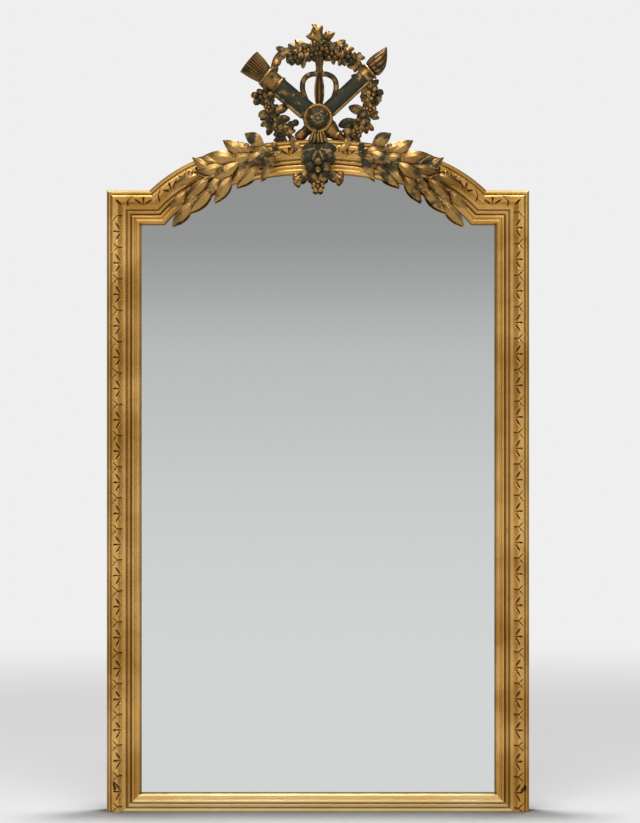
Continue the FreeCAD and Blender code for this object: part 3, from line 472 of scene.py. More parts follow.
@dataclass(frozen=True)
class Gilding:
    """Old water gilding: leaf gold worn to a deep gold, dirt and painted shade in hollows, rubbed gold
    and painted highlights on sharp edges, painted shade in cuts, and dark patches of patina.

    A lower patina limit gives more patches, and a limit of 1 gives none. A noise is a scale and a
    detail, limits are where a smooth step starts and ends, and a bump is a strength and a depth.
    """

    name: str
    leaf: Colour = (0.90, 0.555, 0.175, 1.0)
    deep: Colour = (0.57, 0.30, 0.064, 1.0)
    # Lighter gold on sharp edges: gold rubbed bare of patina, and a painted highlight.
    edge: Colour = (0.80, 0.54, 0.22, 1.0)
    # Colour of the hollows: dust lodged there, and painted shade.
    dirt: Colour = (0.15, 0.062, 0.012, 1.0)
    # Near black for marked points: painted shade in cuts, flute valleys and bands, and bare ground in
    # chips.
    gouge: Colour = (0.030, 0.013, 0.005, 1.0)
    patina: Colour = (0.026, 0.030, 0.014, 1.0)
    patina_limit: float = 1.0
    patina_scale: float = 32.0
    patina_detail: float = 7.0
    patina_softness: float = 0.07
    patina_most: float = 0.95
    patina_near: float = 0.15
    patina_far: float = 0.42
    patina_fade: float = 0.10
    crest_height: float = 1.62
    hollow_reach: float = 0.007
    hollow_open: float = 0.74
    hollow_shut: float = 0.26
    edge_share: float = 0.55
    edge_reach: float = 0.0022
    edge_limits: Point = (0.6, 0.25)
    cloud_noise: Point = (7.0, 6.0)
    cloud_limits: Point = (0.36, 0.66)
    rub_noise: Point = (46.0, 8.0)
    rub_limits: Limits = (0.58, 0.74, 0.0, 0.6)
    gouge_shade_limits: Limits = (0.3, 0.75, 0.0, 0.95)
    fine_noise: Point = (170.0, 5.0)
    grit_noise: Point = (420.0, 3.0)
    sheen_limits: Limits = (0.3, 0.7, 0.32, 0.46)
    metal_limits: Limits = (0.0, 1.0, 0.92, 0.30)
    dull_roughness: float = 0.25
    specular: float = 0.3
    bump: Point = (0.25, 0.0006)

    def material(self) -> Material:
        """Put the finish together."""
        recipe = Recipe(self.name)
        fine = recipe.noise(*self.fine_noise)
        cloudy = recipe.step(recipe.noise(*self.cloud_noise), *self.cloud_limits)
        gold = recipe.blend(cloudy, self.leaf, self.deep)
        rubbed = recipe.step(recipe.noise(*self.rub_noise), *self.rub_limits)
        gold = recipe.blend(rubbed, gold, self.deep)
        # Hollows darken towards the dirt colour and lose their sheen: dust lodged there, and painted
        # shade where shade falls in them.
        dull = recipe.step(recipe.hollow(self.hollow_reach), self.hollow_open, self.hollow_shut)
        colour = recipe.blend(dull, gold, self.dirt)
        if self.patina_limit < 1.0:
            dark = self.darkened(recipe)
            colour = recipe.blend(dark, colour, self.patina)
            dull = recipe.maths("MAXIMUM", dull, dark)
        # Sharp edges turn a lighter gold: gold rubbed bare of patina, and a painted highlight.
        sharp = recipe.hollow(self.edge_reach, inside=True)
        edges = recipe.step(sharp, *self.edge_limits, 0.0, self.edge_share)
        colour = recipe.blend(edges, colour, self.edge)
        # Marked points darken to near black: painted shade in carved cuts, flute valleys and shaded
        # bands, and bare ground in chips.
        carving = recipe.node("ShaderNodeAttribute", attribute_name=CUT_SHADE_AND_WEAR).outputs["Fac"]
        cut = recipe.step(carving, *self.gouge_shade_limits)
        colour = recipe.blend(cut, colour, self.gouge)
        dull = recipe.maths("MAXIMUM", dull, cut)
        sheen = recipe.step(fine, *self.sheen_limits)
        roughness = recipe.maths("ADD", sheen, recipe.maths("MULTIPLY", dull, self.dull_roughness))
        metal = recipe.step(dull, *self.metal_limits)
        recipe.set(Base_Color=colour, Roughness=roughness, Metallic=metal)
        recipe.set(Specular_IOR_Level=self.specular)
        recipe.bump(recipe.maths("ADD", fine, recipe.noise(*self.grit_noise)), *self.bump)
        return recipe.material

    def darkened(self, recipe: Recipe) -> Socket:
        """Share of dark patina: patchy, and strongest near the crest.

        Args:
            recipe: The finish that is being put together.

        Returns:
            Socket of the share.
        """
        offset = {0: recipe.place, 1: (0.0, 0.0, self.crest_height)}
        distance = recipe.node("ShaderNodeVectorMath", offset, operation="DISTANCE").outputs["Value"]
        fade = recipe.step(distance, self.patina_near, self.patina_far, 0.0, self.patina_fade)
        patches = recipe.maths("SUBTRACT", recipe.noise(self.patina_scale, self.patina_detail), fade)
        low, high = self.patina_limit - self.patina_softness, self.patina_limit + self.patina_softness
        return recipe.step(patches, low, high, 0.0, self.patina_most)


GREEN_BLACK = (0.022, 0.032, 0.020, 1.0)
# Paler, brighter gold for the bottom run: painted light from above on its upward slopes.
PAINTED_LIGHT_FOOT_GILDING = Gilding("painted_light_foot_gilding", leaf=(1.0, 0.75, 0.35, 1.0), deep=(0.93, 0.65, 0.27, 1.0))
BRANCH_GILDING = Gilding(
    "branch_gilding",
    leaf=(0.51, 0.306, 0.10, 1.0),
    deep=(0.27, 0.14, 0.038, 1.0),
    # Darker hollows: dust and painted shade.
    dirt=(0.03, 0.016, 0.006, 1.0),
    hollow_open=0.86,
    hollow_shut=0.34,
)
CREST_GILDING = Gilding(
    "crest_gilding",
    leaf=(0.46, 0.262, 0.082, 1.0),
    deep=(0.20, 0.105, 0.034, 1.0),
    edge=(0.56, 0.345, 0.125, 1.0),
    # Darker hollows: dust and painted shade.
    dirt=(0.024, 0.016, 0.007, 1.0),
    patina_scale=56.0,
    patina_fade=0.0,
    hollow_open=0.88,
    hollow_shut=0.36,
)
CREST_BLACK = replace(CREST_GILDING, name="crest_black", patina_limit=0.38, patina=GREEN_BLACK)
BROWNED = {"leaf": (0.40, 0.222, 0.066, 1.0), "deep": (0.18, 0.091, 0.03, 1.0)}


@dataclass(frozen=True)
class Wood:
    """Old softwood with its grain along or across the piece."""

    name: str
    grain: Grain
    pale: Colour = (0.40, 0.25, 0.125, 1.0)
    dark: Colour = (0.21, 0.115, 0.05, 1.0)
    dirt: Colour = (0.055, 0.035, 0.02, 1.0)
    long_way: float = 1.4
    cross_way: float = 26.0
    grain_noise: Point = (1.6, 6.0)
    grain_limits: Point = (0.35, 0.68)
    fibre_noise: Point = (9.0, 4.0)
    fibre_limits: Limits = (0.55, 0.8, 0.0, 0.45)
    stain_noise: Point = (5.0, 5.0)
    stain_limits: Limits = (0.52, 0.75, 0.0, 0.5)
    roughness: float = 0.82
    bump: Point = (0.25, 0.0008)

    def material(self) -> Material:
        """Put the finish together."""
        recipe = Recipe(self.name)
        factors = (self.long_way, self.cross_way, self.cross_way)
        place = recipe.stretched(factors[::-1] if self.grain is Grain.UPRIGHT else factors)
        grain = recipe.noise(*self.grain_noise, place)
        fibre = recipe.noise(*self.fibre_noise, place)
        colour = recipe.blend(recipe.step(grain, *self.grain_limits), self.pale, self.dark)
        colour = recipe.blend(recipe.step(fibre, *self.fibre_limits), colour, self.dark)
        stain = recipe.step(recipe.noise(*self.stain_noise), *self.stain_limits)
        colour = recipe.blend(stain, colour, self.dirt)
        recipe.set(Base_Color=colour, Roughness=self.roughness)
        recipe.bump(fibre, *self.bump)
        return recipe.material


@dataclass(frozen=True)
class Iron:
    """Forged or turned iron with a little rust."""

    name: str
    metal: Colour = (0.13, 0.12, 0.115, 1.0)
    rust: Colour = (0.14, 0.058, 0.024, 1.0)
    roughness: float = 0.5
    rust_noise: Point = (85.0, 6.0)
    rust_limits: Point = (0.5, 0.72)
    metal_limits: Limits = (0.0, 1.0, 0.9, 0.2)
    pit_noise: Point = (260.0, 3.0)
    bump: Point = (0.2, 0.0005)

    def material(self) -> Material:
        """Put the finish together."""
        recipe = Recipe(self.name)
        rusty = recipe.step(recipe.noise(*self.rust_noise), *self.rust_limits)
        colour = recipe.blend(rusty, self.metal, self.rust)
        metal = recipe.step(rusty, *self.metal_limits)
        recipe.set(Base_Color=colour, Metallic=metal, Roughness=self.roughness)
        recipe.bump(recipe.noise(*self.pit_noise), *self.bump)
        return recipe.material


@dataclass(frozen=True)
class Silvered:
    """Mirror plate, silvered behind."""

    name: str
    colour: Colour = (0.795, 0.83, 0.81, 1.0)
    roughness: float = 0.02
    coat: float = 0.3

    def material(self) -> Material:
        """Put the finish together."""
        recipe = Recipe(self.name)
        recipe.set(Base_Color=self.colour, Metallic=1.0, Roughness=self.roughness)
        recipe.set(Coat_Weight=self.coat, Coat_Roughness=0.0)
        return recipe.material


@dataclass(frozen=True)
class BackPaint:
    """Dull paint over the silvering."""

    name: str
    colour: Colour = (0.16, 0.14, 0.125, 1.0)
    roughness: float = 0.7

    def material(self) -> Material:
        """Put the finish together."""
        recipe = Recipe(self.name)
        recipe.set(Base_Color=self.colour, Roughness=self.roughness)
        return recipe.material


# Lines of the frame

@dataclass(frozen=True)
class FrameLines:
    """Front-view lines of the frame. An offset runs inwards from the outer edge."""

    half_width: float
    shoulder: float
    crown_top: float
    ground: float
    shoulder_width: float = 0.097
    crown_half_angle: float = math.radians(16.0)
    haunch_end_angle: float = math.radians(44.0)

    @classmethod
    def from_frame(cls) -> "FrameLines":
        """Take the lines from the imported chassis."""
        low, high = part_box("right_stile")
        return cls(high.x, high.z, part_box("arch_rail")[1].z, low.y)

    @cached_property
    def radii(self) -> Point:
        """Radii of the crown and of the haunches, which meet in one tangent."""
        sin_crown = math.sin(self.crown_half_angle)
        drop_crown = 1 - math.cos(self.crown_half_angle)
        sin_haunch = math.sin(self.haunch_end_angle) - sin_crown
        drop_haunch = math.cos(self.crown_half_angle) - math.cos(self.haunch_end_angle)
        span = self.half_width - self.shoulder_width
        rise = self.crown_top - self.shoulder
        determinant = sin_crown * drop_haunch - sin_haunch * drop_crown
        crown = (drop_haunch * span - sin_haunch * rise) / determinant
        haunch = (sin_crown * rise - drop_crown * span) / determinant
        return crown, haunch

    @cached_property
    def centres(self) -> tuple[float, float, float]:
        """Height of the crown's centre, then place across and height of the haunch's centre."""
        crown, haunch = self.radii
        crown_z = self.crown_top - crown
        across = (crown - haunch) * math.sin(self.crown_half_angle)
        return crown_z, across, crown_z + (crown - haunch) * math.cos(self.crown_half_angle)

    def neck(self, offset: Array) -> Array:
        """Place across where the shoulder line meets the haunch."""
        _, haunch_x, haunch_z = self.centres
        drop_z = self.shoulder - offset - haunch_z
        return haunch_x + np.sqrt((self.radii[1] - offset) ** 2 - drop_z ** 2)

    def arch(self, offset: Array, share: Array) -> tuple[Array, Array]:
        """Points of the arch.

        Args:
            offset: Offsets inwards from the outer edge.
            share: Shares of the way from the crown, 0, to the necks, -1 and 1.

        Returns:
            Places across and heights.
        """
        crown_z, haunch_x, haunch_z = self.centres
        crown, haunch = self.radii[0] - offset, self.radii[1] - offset
        crown_run = crown * self.crown_half_angle
        run = np.abs(share) * self.arch_run(offset)
        on_crown = run < crown_run
        angle = np.where(on_crown, run / crown, self.crown_half_angle + (run - crown_run) / haunch)
        x = np.where(on_crown, crown * np.sin(angle), haunch_x + haunch * np.sin(angle))
        z = np.where(on_crown, crown_z + crown * np.cos(angle), haunch_z + haunch * np.cos(angle))
        return np.sign(share) * x, z

    def arch_run(self, offset: float | Array) -> float | Array:
        """Length of the arch at an offset, from the crown to a neck."""
        crown, haunch = self.radii[0] - offset, self.radii[1] - offset
        end = np.arccos((self.shoulder - offset - self.centres[2]) / haunch)
        return crown * self.crown_half_angle + haunch * (end - self.crown_half_angle)

    def above(self, offset: float, across: float) -> tuple[float, float]:
        """Height and slope in degrees of the right half of the arch at a place across."""
        crown_z, haunch_x, haunch_z = self.centres
        crown, haunch = self.radii
        angle = math.asin(across / (crown - offset))
        if angle < self.crown_half_angle:
            return crown_z + (crown - offset) * math.cos(angle), -math.degrees(angle)
        angle = math.asin((across - haunch_x) / (haunch - offset))
        return haunch_z + (haunch - offset) * math.cos(angle), -math.degrees(angle)


# Mouldings

VEIN_LOSS = 0.35
TEAR_LOSS = 0.4
LENS_END = 0.25
LENS_POWER = 0.6


@dataclass(frozen=True)
class Gouge:
    """One straight cut of the carver's tool, between points along and across the moulding."""

    start: Point
    end: Point
    half_width: float
    depth: float
    taper: Taper

    def cut(self, along: Array, across: Array) -> Array:
        """Depth of the cut at places on the moulding.

        Args:
            along: Places along the moulding.
            across: Places across it.

        Returns:
            Depths.
        """
        run = np.subtract(self.end, self.start)
        along, across = along - self.start[0], across - self.start[1]
        share = np.clip((along * run[0] + across * run[1]) / run.dot(run), 0.0, 1.0)
        aside = np.hypot(along - share * run[0], across - share * run[1])
        narrowing = {
            Taper.VEIN: 1.0 - VEIN_LOSS * share,
            Taper.LENS: LENS_END + (1.0 - LENS_END) * np.sin(math.pi * share) ** LENS_POWER,
            Taper.TEAR: 1.0 - TEAR_LOSS * share,
        }[self.taper]
        hollow = 1.0 - (aside / (self.half_width * narrowing)) ** 2
        return self.depth * narrowing * np.clip(hollow, 0.0, None)


@dataclass(frozen=True)
class LeafTipCarving:
    """Repeat of the carved border: a forked vein, then three gouges like a bird's foot.

    The repeats close up a little along a run, as they were spaced by hand.
    """

    period: float = 0.0718
    fork: float = 0.0252
    vein_end: float = 0.0345
    arm_bend: Point = (0.0045, 0.0200)
    arm_tip: Point = (0.0118, 0.0128)
    vein_half_width: float = 0.0012
    vein_stem_share: float = 1.5
    vein_depth: float = 0.0027
    toe_half_width: float = 0.0027
    toe_depth: float = 0.0036
    middle_toe: Point = (0.0175, 0.0330)
    side_toe_start: Point = (0.0205, 0.0200)
    side_toe_end: Point = (0.0035, 0.0315)
    lobe_depth: float = 0.0011
    lobe_reach: float = 0.0075
    mitre_toe: Point = (0.0200, 0.0320)

    def veins(self) -> list[Gouge]:
        """Forked vein about its own stem."""
        width, depth = self.vein_half_width, self.vein_depth
        stem = self.vein_stem_share * width
        cuts = [Gouge((0.0, self.vein_end), (0.0, self.fork), stem, depth, Taper.LENS)]
        for side in (-1.0, 1.0):
            bend = (side * self.arm_bend[0], self.arm_bend[1])
            tip = (side * self.arm_tip[0], self.arm_tip[1])
            cuts.append(Gouge((0.0, self.fork), bend, width, depth, Taper.VEIN))
            cuts.append(Gouge(bend, tip, width, depth, Taper.VEIN))
        return cuts

    def toes(self) -> list[Gouge]:
        """Three gouges about the middle one."""
        width, depth = self.toe_half_width, self.toe_depth
        start, end = self.middle_toe
        cuts = [Gouge((0.0, start), (0.0, end), width, depth, Taper.TEAR)]
        for side in (-1.0, 1.0):
            outer = (side * self.side_toe_start[0], self.side_toe_start[1])
            inner = (side * self.side_toe_end[0], self.side_toe_end[1])
            cuts.append(Gouge(outer, inner, width, depth, Taper.LENS))
        return cuts

    def depth(self, along: Array, across: Array, first: float, closing: float) -> Array:
        """Depth of the carving on one run of moulding.

        Args:
            along: Distances from the run's first corner.
            across: Offsets from the outer edge.
            first: Distance of the first forked vein from that corner.
            closing: How fast the repeats close up along the run.

        Returns:
            Depths.
        """
        half = self.period / 2
        run = along - first + closing * (along - first) ** 2
        from_vein = (run + half) % self.period - half
        from_toe = run % self.period - half
        deepest = np.zeros_like(along)
        for cut in self.veins():
            deepest = np.maximum(deepest, cut.cut(from_vein, across))
        for cut in self.toes():
            deepest = np.maximum(deepest, cut.cut(from_toe, across))
        on_roll = (across > self.arm_tip[1]) & (across < self.vein_end)
        lobes = self.lobe_depth * np.exp(-((from_vein / self.lobe_reach) ** 2)) * on_roll
        return np.where(along > first - self.vein_half_width, deepest + lobes, 0.0)

    def corner_depth(self, along: Array, across: Array) -> Array:
        """Depth of the gouge along a mitred corner."""
        start, end = self.mitre_toe
        toe = Gouge((start, start), (end, end), self.toe_half_width, self.toe_depth, Taper.LENS)
        return toe.cut(along, across)


class Run(Enum):
    """Runs of moulding: where the first forked vein lies, and how fast the repeats close up."""

    LEFT_STILE = (0.0572, 0.0118)
    RIGHT_STILE = (0.0490, 0.0053)
    SHOULDER = (0.0475, 0.0)
    ARCH = (0.0140, 0.0)


@dataclass
class Mouldings:
    """Carved outer moulding and plain sight moulding of the frame.

    A section share is a line's end, or an arc's middle and end, as shares of width and rise.
    """

    lines: FrameLines
    carved_width: float = 0.036
    carved_rise: float = 0.026
    sight_width: float = 0.042
    sight_rise: float = 0.013
    fine_step: float = 0.0009
    carving_step: float = 0.0015
    plain_step: float = 0.006
    stile_step: float = 0.12
    bottom_steps: int = 8
    carving: LeafTipCarving = field(default_factory=LeafTipCarving)
    chips: Points = ((-0.4630, 0.064), (-0.4615, 0.055), (0.4695, 0.054), (0.464, 0.049))
    chip_size: Point = (0.0038, 0.0072)
    chip_peak: float = 1.2
    chip_floor: float = 0.8
    carved_shares: tuple[Shares, ...] = (
        (0.0, 0.0), (0.0, 0.66), (0.05, 0.77, 0.11, 0.85), (0.16, 0.885), (0.222, 0.865, 0.25, 0.79),
        (0.278, 0.79), (0.328, 0.93, 0.458, 1.0), (0.569, 1.0), (0.672, 0.9615, 0.7556, 0.854),
        (0.869, 0.638, 1.0, 0.46), (1.0, 0.0),
    )
    sight_shares: tuple[Shares, ...] = (
        (0.0, 0.0), (0.0, 0.92), (0.15, 0.92), (0.175, 0.66), (0.215, 0.66), (0.325, 0.88, 0.425, 0.66),
        (0.445, 0.6), (0.465, 0.72), (0.545, 1.0, 0.63, 0.769), (0.667, 0.69, 0.705, 0.738),
        (0.8, 0.83, 0.9, 0.56), (0.935, 0.42), (0.945, 0.18), (1.0, 0.15), (1.0, 0.0),
    )
    # Bands darkened across the mouldings: painted shade on the outer fillet and in the quirks beside the
    # bead, a painted dark reflection along the lip at the glass, and dirty brown ground on the bead.
    worn_and_shaded_bands: tuple[tuple[float, float, float], ...] = (
        (-0.001, 0.0065, 0.5), (0.0423, 0.0452, 0.52), (0.0452, 0.0540, 0.45), (0.0540, 0.0556, 0.5),
        (0.0752, 0.0781, 0.55),
    )

    def section(self, shares: Sequence[Sequence[float]], width: float, rise: float) -> Array:
        """Closed section of a moulding.

        Args:
            shares: Lines and arcs of the section.
            width: Its width.
            rise: Its rise.

        Returns:
            Rows of offset and height, ending where they start.
        """
        size = np.array((width, rise))
        points = [np.array(shares[0]) * size]
        for share in shares[1:]:
            end = np.array(share[-2:]) * size
            if len(share) == 4:
                points.extend(self.arc(points[-1], np.array(share[:2]) * size, end))
            else:
                points.extend(self.line(points[-1], end))
        points.append(points[0])
        return np.array(points)

    def line(self, start: Array, end: Array) -> list[Array]:
        """Points along a line of the section, close together on the carved top."""
        across, up = np.abs(end - start)
        count = max(1, math.ceil(across / self.fine_step)) if across > up else 1
        return [start + (end - start) * share for share in np.linspace(0.0, 1.0, count + 1)[1:]]

    def arc(self, start: Array, middle: Array, end: Array) -> list[Array]:
        """Points along the arc of the section through three points."""
        rows = 2 * np.array((middle - start, end - start))
        values = np.array((middle.dot(middle) - start.dot(start), end.dot(end) - start.dot(start)))
        centre = np.linalg.solve(rows, values)
        first, last = start - centre, end - centre
        radius = math.hypot(*first)
        begin = math.atan2(first[1], first[0])
        sweep = math.atan2(last[1], last[0]) - begin
        side = np.sign(np.cross(middle - start, end - middle))
        if sweep * side < 0:
            sweep += side * 2 * math.pi
        count = max(2, math.ceil(abs(sweep) * radius / self.fine_step))
        angles = [begin + sweep * share for share in np.linspace(0.0, 1.0, count + 1)[1:]]
        return [centre + radius * np.array((math.cos(angle), math.sin(angle))) for angle in angles]

    def swept(
        self, section: Array, stations: int, place: Callable[[Array, Array, Array], Array]
    ) -> Piece:
        """Lay a grid along a run of moulding.

        Args:
            section: Rows of offset and height.
            stations: Steps along the run.
            place: Gives the points and their carving for shares along the run, offsets and heights.

        Returns:
            The closed moulding.
        """
        rows = len(section) - 1
        grid = bpy.ops.mesh.primitive_grid_add
        piece = added(grid, x_subdivisions=stations, y_subdivisions=rows, size=1.0)
        flat = np.empty(len(piece.data.vertices) * 3)
        piece.data.vertices.foreach_get("co", flat)
        flat = flat.reshape(-1, 3) + 0.5
        index = np.rint(flat[:, 1] * rows).astype(int)
        points = place(flat[:, 0], section[index, 0], section[index, 1])
        piece.data.vertices.foreach_set("co", points[:, :3].ravel())
        marks = piece.data.attributes.new(CUT_SHADE_AND_WEAR, "FLOAT", "POINT")
        marks.data.foreach_set("value", np.ascontiguousarray(points[:, 3]))
        with Editing(piece) as edit:
            edit.close()
        return piece

    def laid(self, x: Array, z: Array, offset: Array, height: Array, cut: Array) -> Array:
        """Rows of place and dark share for a run's points; only what stands off the chassis is cut."""
        # The dark share is painted shade in the cuts and bands, dirty ground on the bead and bare ground
        # in chips.
        cut = np.where(height > 0.0, cut, 0.0)
        dark = cut / self.carving.toe_depth
        for start, end, share in self.worn_and_shaded_bands:
            dark = np.where((offset > start) & (offset < end), np.maximum(dark, share), dark)
        return np.column_stack((x, self.lines.ground - height + cut, z, dark))

    def chipped(self, x: Array, z: Array) -> Array:
        """Depth of the chips knocked out of the feet of the stiles."""
        depth = np.zeros_like(x)
        for across, up in self.chips:
            aside = np.hypot((x - across) / self.chip_size[0], (z - up) / self.chip_size[1])
            share = np.clip(self.chip_peak - aside ** 2, 0.0, self.chip_floor)
            depth = np.maximum(depth, self.carving.toe_depth * share)
        return depth

    def cut(self, run: Run | None, along: Array, offset: Array) -> Array:
        """Depth of the carving.

        Args:
            run: The carved run, or none on the sight moulding.
            along: Distances from the run's first corner.
            offset: Offsets from the outer edge.

        Returns:
            Depths.
        """
        if run is None:
            return np.zeros_like(offset)
        depth = self.carving.depth(along, offset, *run.value)
        if run is Run.ARCH:
            return depth
        return np.maximum(depth, self.carving.corner_depth(along, offset))

    def stile(self, section: Array, side: float, run: Run | None, foot: float) -> Piece:
        """Upright run on one side.

        Args:
            section: The moulding's section.
            side: 1 on the right, -1 on the left.
            run: The carved run, or none for the sight moulding.
            foot: How far its foot rises with the offset, 1 for a mitre and 0 for a square end.

        Returns:
            The run.
        """
        lines = self.lines

        def place(share: Array, offset: Array, height: Array) -> Array:
            """Points of the upright run."""
            bottom = foot * (offset - self.carved_width)
            x = side * (lines.half_width - offset)
            z = bottom + share * (lines.shoulder - offset - bottom)
            cut = self.cut(run, lines.shoulder - z, offset)
            if run:
                cut = np.maximum(cut, self.chipped(x, z))
            return self.laid(x, z, offset, height, cut)

        step = self.carving_step if run else self.stile_step
        return self.swept(section, math.ceil(lines.shoulder / step), place)

    def shoulder(self, section: Array, side: float, run: Run | None) -> Piece:
        """Short level run over one shoulder.

        Args:
            section: The moulding's section.
            side: 1 on the right, -1 on the left.
            run: The carved run, or none for the sight moulding.

        Returns:
            The run.
        """
        lines = self.lines

        def place(share: Array, offset: Array, height: Array) -> Array:
            """Points of the shoulder run."""
            outer = lines.half_width - offset
            x = outer + share * (lines.neck(offset) - outer)
            cut = self.cut(run, lines.half_width - x, offset)
            return self.laid(side * x, lines.shoulder - offset, offset, height, cut)

        step = self.carving_step if run else self.plain_step
        return self.swept(section, math.ceil(lines.shoulder_width / step), place)

    def arch(self, section: Array, run: Run | None) -> Piece:
        """Run over the arch.

        Args:
            section: The moulding's section.
            run: The carved run, or none for the sight moulding.

        Returns:
            The run.
        """
        length = self.lines.arch_run(self.carved_width / 2)

        def place(share: Array, offset: Array, height: Array) -> Array:
            """Points of the arch run."""
            share = 2 * share - 1
            x, z = self.lines.arch(offset, share)
            cut = self.cut(run, (1 - np.abs(share)) * length, offset)
            return self.laid(x, z, offset, height, cut)

        step = self.carving_step if run else self.plain_step
        return self.swept(section, 2 * math.ceil(length / step), place)

    def bottom(self, section: Array) -> Piece:
        """Level run of the sight moulding along the foot of the frame."""

        def place(share: Array, offset: Array, height: Array) -> Array:
            """Points of the bottom run."""
            x = (2 * share - 1) * (self.lines.half_width - offset)
            return self.laid(x, offset - self.carved_width, offset, height, np.zeros_like(offset))

        return self.swept(section, self.bottom_steps, place)

    def build(self, gilt: Material, foot_gilt: Material) -> None:
        """Make every run and dress it.

        Args:
            gilt: Finish of the frame.
            foot_gilt: Finish of the bottom run, a paler gold that paints the light falling on its upward
                slopes from above.
        """
        carved = self.section(self.carved_shares, self.carved_width, self.carved_rise)
        sight = self.section(self.sight_shares, self.sight_width, self.sight_rise)
        sight[:, 0] += self.carved_width
        runs = {
            "arch_carved_moulding": self.arch(carved, Run.ARCH),
            "arch_sight_moulding": self.arch(sight, None),
            "bottom_sight_moulding": self.bottom(sight),
        }
        for word, side, run in (("right", 1.0, Run.RIGHT_STILE), ("left", -1.0, Run.LEFT_STILE)):
            runs[f"{word}_carved_moulding"] = self.stile(carved, side, run, 0.0)
            runs[f"{word}_sight_moulding"] = self.stile(sight, side, None, 1.0)
            runs[f"{word}_shoulder_carved_moulding"] = self.shoulder(carved, side, Run.SHOULDER)
            runs[f"{word}_shoulder_sight_moulding"] = self.shoulder(sight, side, None)
        for node, piece in runs.items():
            # The bottom run takes the paler gold of painted light.
            material = foot_gilt if node == "bottom_sight_moulding" else gilt
            settle(piece, f"gilt_{node}", material, Slot.GILDING, node)


# Leaves, flowers and berries

@dataclass(frozen=True)
class LeafPattern:
    """Carved leaf with its root at the origin, its length along +X and its face towards +Z.

    Breadth and arch shares run from root to tip, section shares from edge to edge.
    """

    length: float
    breadth: float
    rise: float
    thickness: float = 0.0028
    breadth_shares: Shares = (0.16, 0.44, 0.7, 0.89, 0.99, 1.0, 0.94, 0.8, 0.58, 0.31, 0.04)
    arch_shares: Shares = (
        0.0, 0.03, 0.055, 0.07, 0.075, 0.07, 0.055, 0.03, -0.005, -0.045, -0.09,
    )
    section_shares: Shares = (0.0, 0.26, 0.38, 0.52, 1.0, 0.52, 0.38, 0.26, 0.0)
    smoothing: int = 1

    def build(self) -> Piece:
        """Model the leaf from a grid, as a closed shell."""
        columns = len(self.breadth_shares) - 1
        rows = len(self.section_shares) - 1
        grid = bpy.ops.mesh.primitive_grid_add
        piece = added(grid, x_subdivisions=columns, y_subdivisions=rows, size=1.0)
        near_row = self.breadth / rows / 2
        near_column = self.length / columns / 2
        with Editing(piece) as edit:
            edit.move(x=0.5)
            edit.resize((self.length, self.breadth, 1.0))
            for row, share in enumerate(self.section_shares):
                side = (row / rows - 0.5) * self.breadth
                edit.select(lambda place: abs(place.y - side) < near_row)
                edit.move(z=share * self.rise)
            for column, (breadth, arch) in enumerate(zip(self.breadth_shares, self.arch_shares)):
                reach = column / columns * self.length
                edit.select(lambda place: abs(place.x - reach) < near_column)
                edit.resize((1.0, breadth, breadth), (reach, 0.0, 0.0))
                edit.move(z=arch * self.length)
        apply_modifier(piece, "SOLIDIFY", thickness=self.thickness, offset=-1.0)
        subdivide(piece, self.smoothing)
        return piece


ROUND_LEAF_SHARES = (0.16, 0.4, 0.6, 0.78, 0.92, 1.0, 1.0, 0.94, 0.8, 0.56, 0.16)
LOBED_LEAF_SHARES = (0.3, 0.55, 0.5, 0.86, 0.7, 1.0, 0.78, 0.92, 0.62, 0.5, 0.05)


def cut_leaf(outline: Sequence[Point], rise: float, thickness: float) -> Piece:
    """Leaf with an outline of its own, raised to its middle. It lies as a leaf pattern does.

    Args:
        outline: Its edge, as places along and across.
        rise: Height of its middle.
        thickness: Thickness of its edge.

    Returns:
        The leaf as a closed shell.
    """
    fan = bpy.ops.mesh.primitive_circle_add
    piece = added(fan, vertices=len(outline), radius=1.0, fill_type="TRIFAN")
    middle = np.mean(outline, axis=0)
    rim = [point for point in piece.data.vertices if point.co.length > 0.5]
    rim.sort(key=lambda point: math.atan2(point.co.y, point.co.x))
    for point in piece.data.vertices:
        point.co = (middle[0], middle[1], rise)
    for point, (along, across) in zip(rim, outline):
        point.co = (along, across, 0.0)
    with Editing(piece) as edit:
        edit.close()
    apply_modifier(piece, "SOLIDIFY", thickness=thickness, offset=-1.0)
    apply_modifier(piece, "SUBSURF", levels=1, render_levels=1, subdivision_type="SIMPLE")
    subdivide(piece, 1)
    return piece


@dataclass(frozen=True)
class BerryPattern:
    """Round berry with a dimple towards +Z."""

    radius: float
    dimple_share: float = 0.3
    dimple_reach_share: float = 0.86
    segments: int = 16
    rings: int = 10

    def build(self) -> Piece:
        """Model the berry from a ball."""
        ball = bpy.ops.mesh.primitive_uv_sphere_add
        piece = added(ball, segments=self.segments, ring_count=self.rings, radius=self.radius)
        with Editing(piece) as edit:
            edit.select(lambda place: place.z > self.dimple_reach_share * self.radius)
            edit.move(z=-self.dimple_share * self.radius)
        return piece


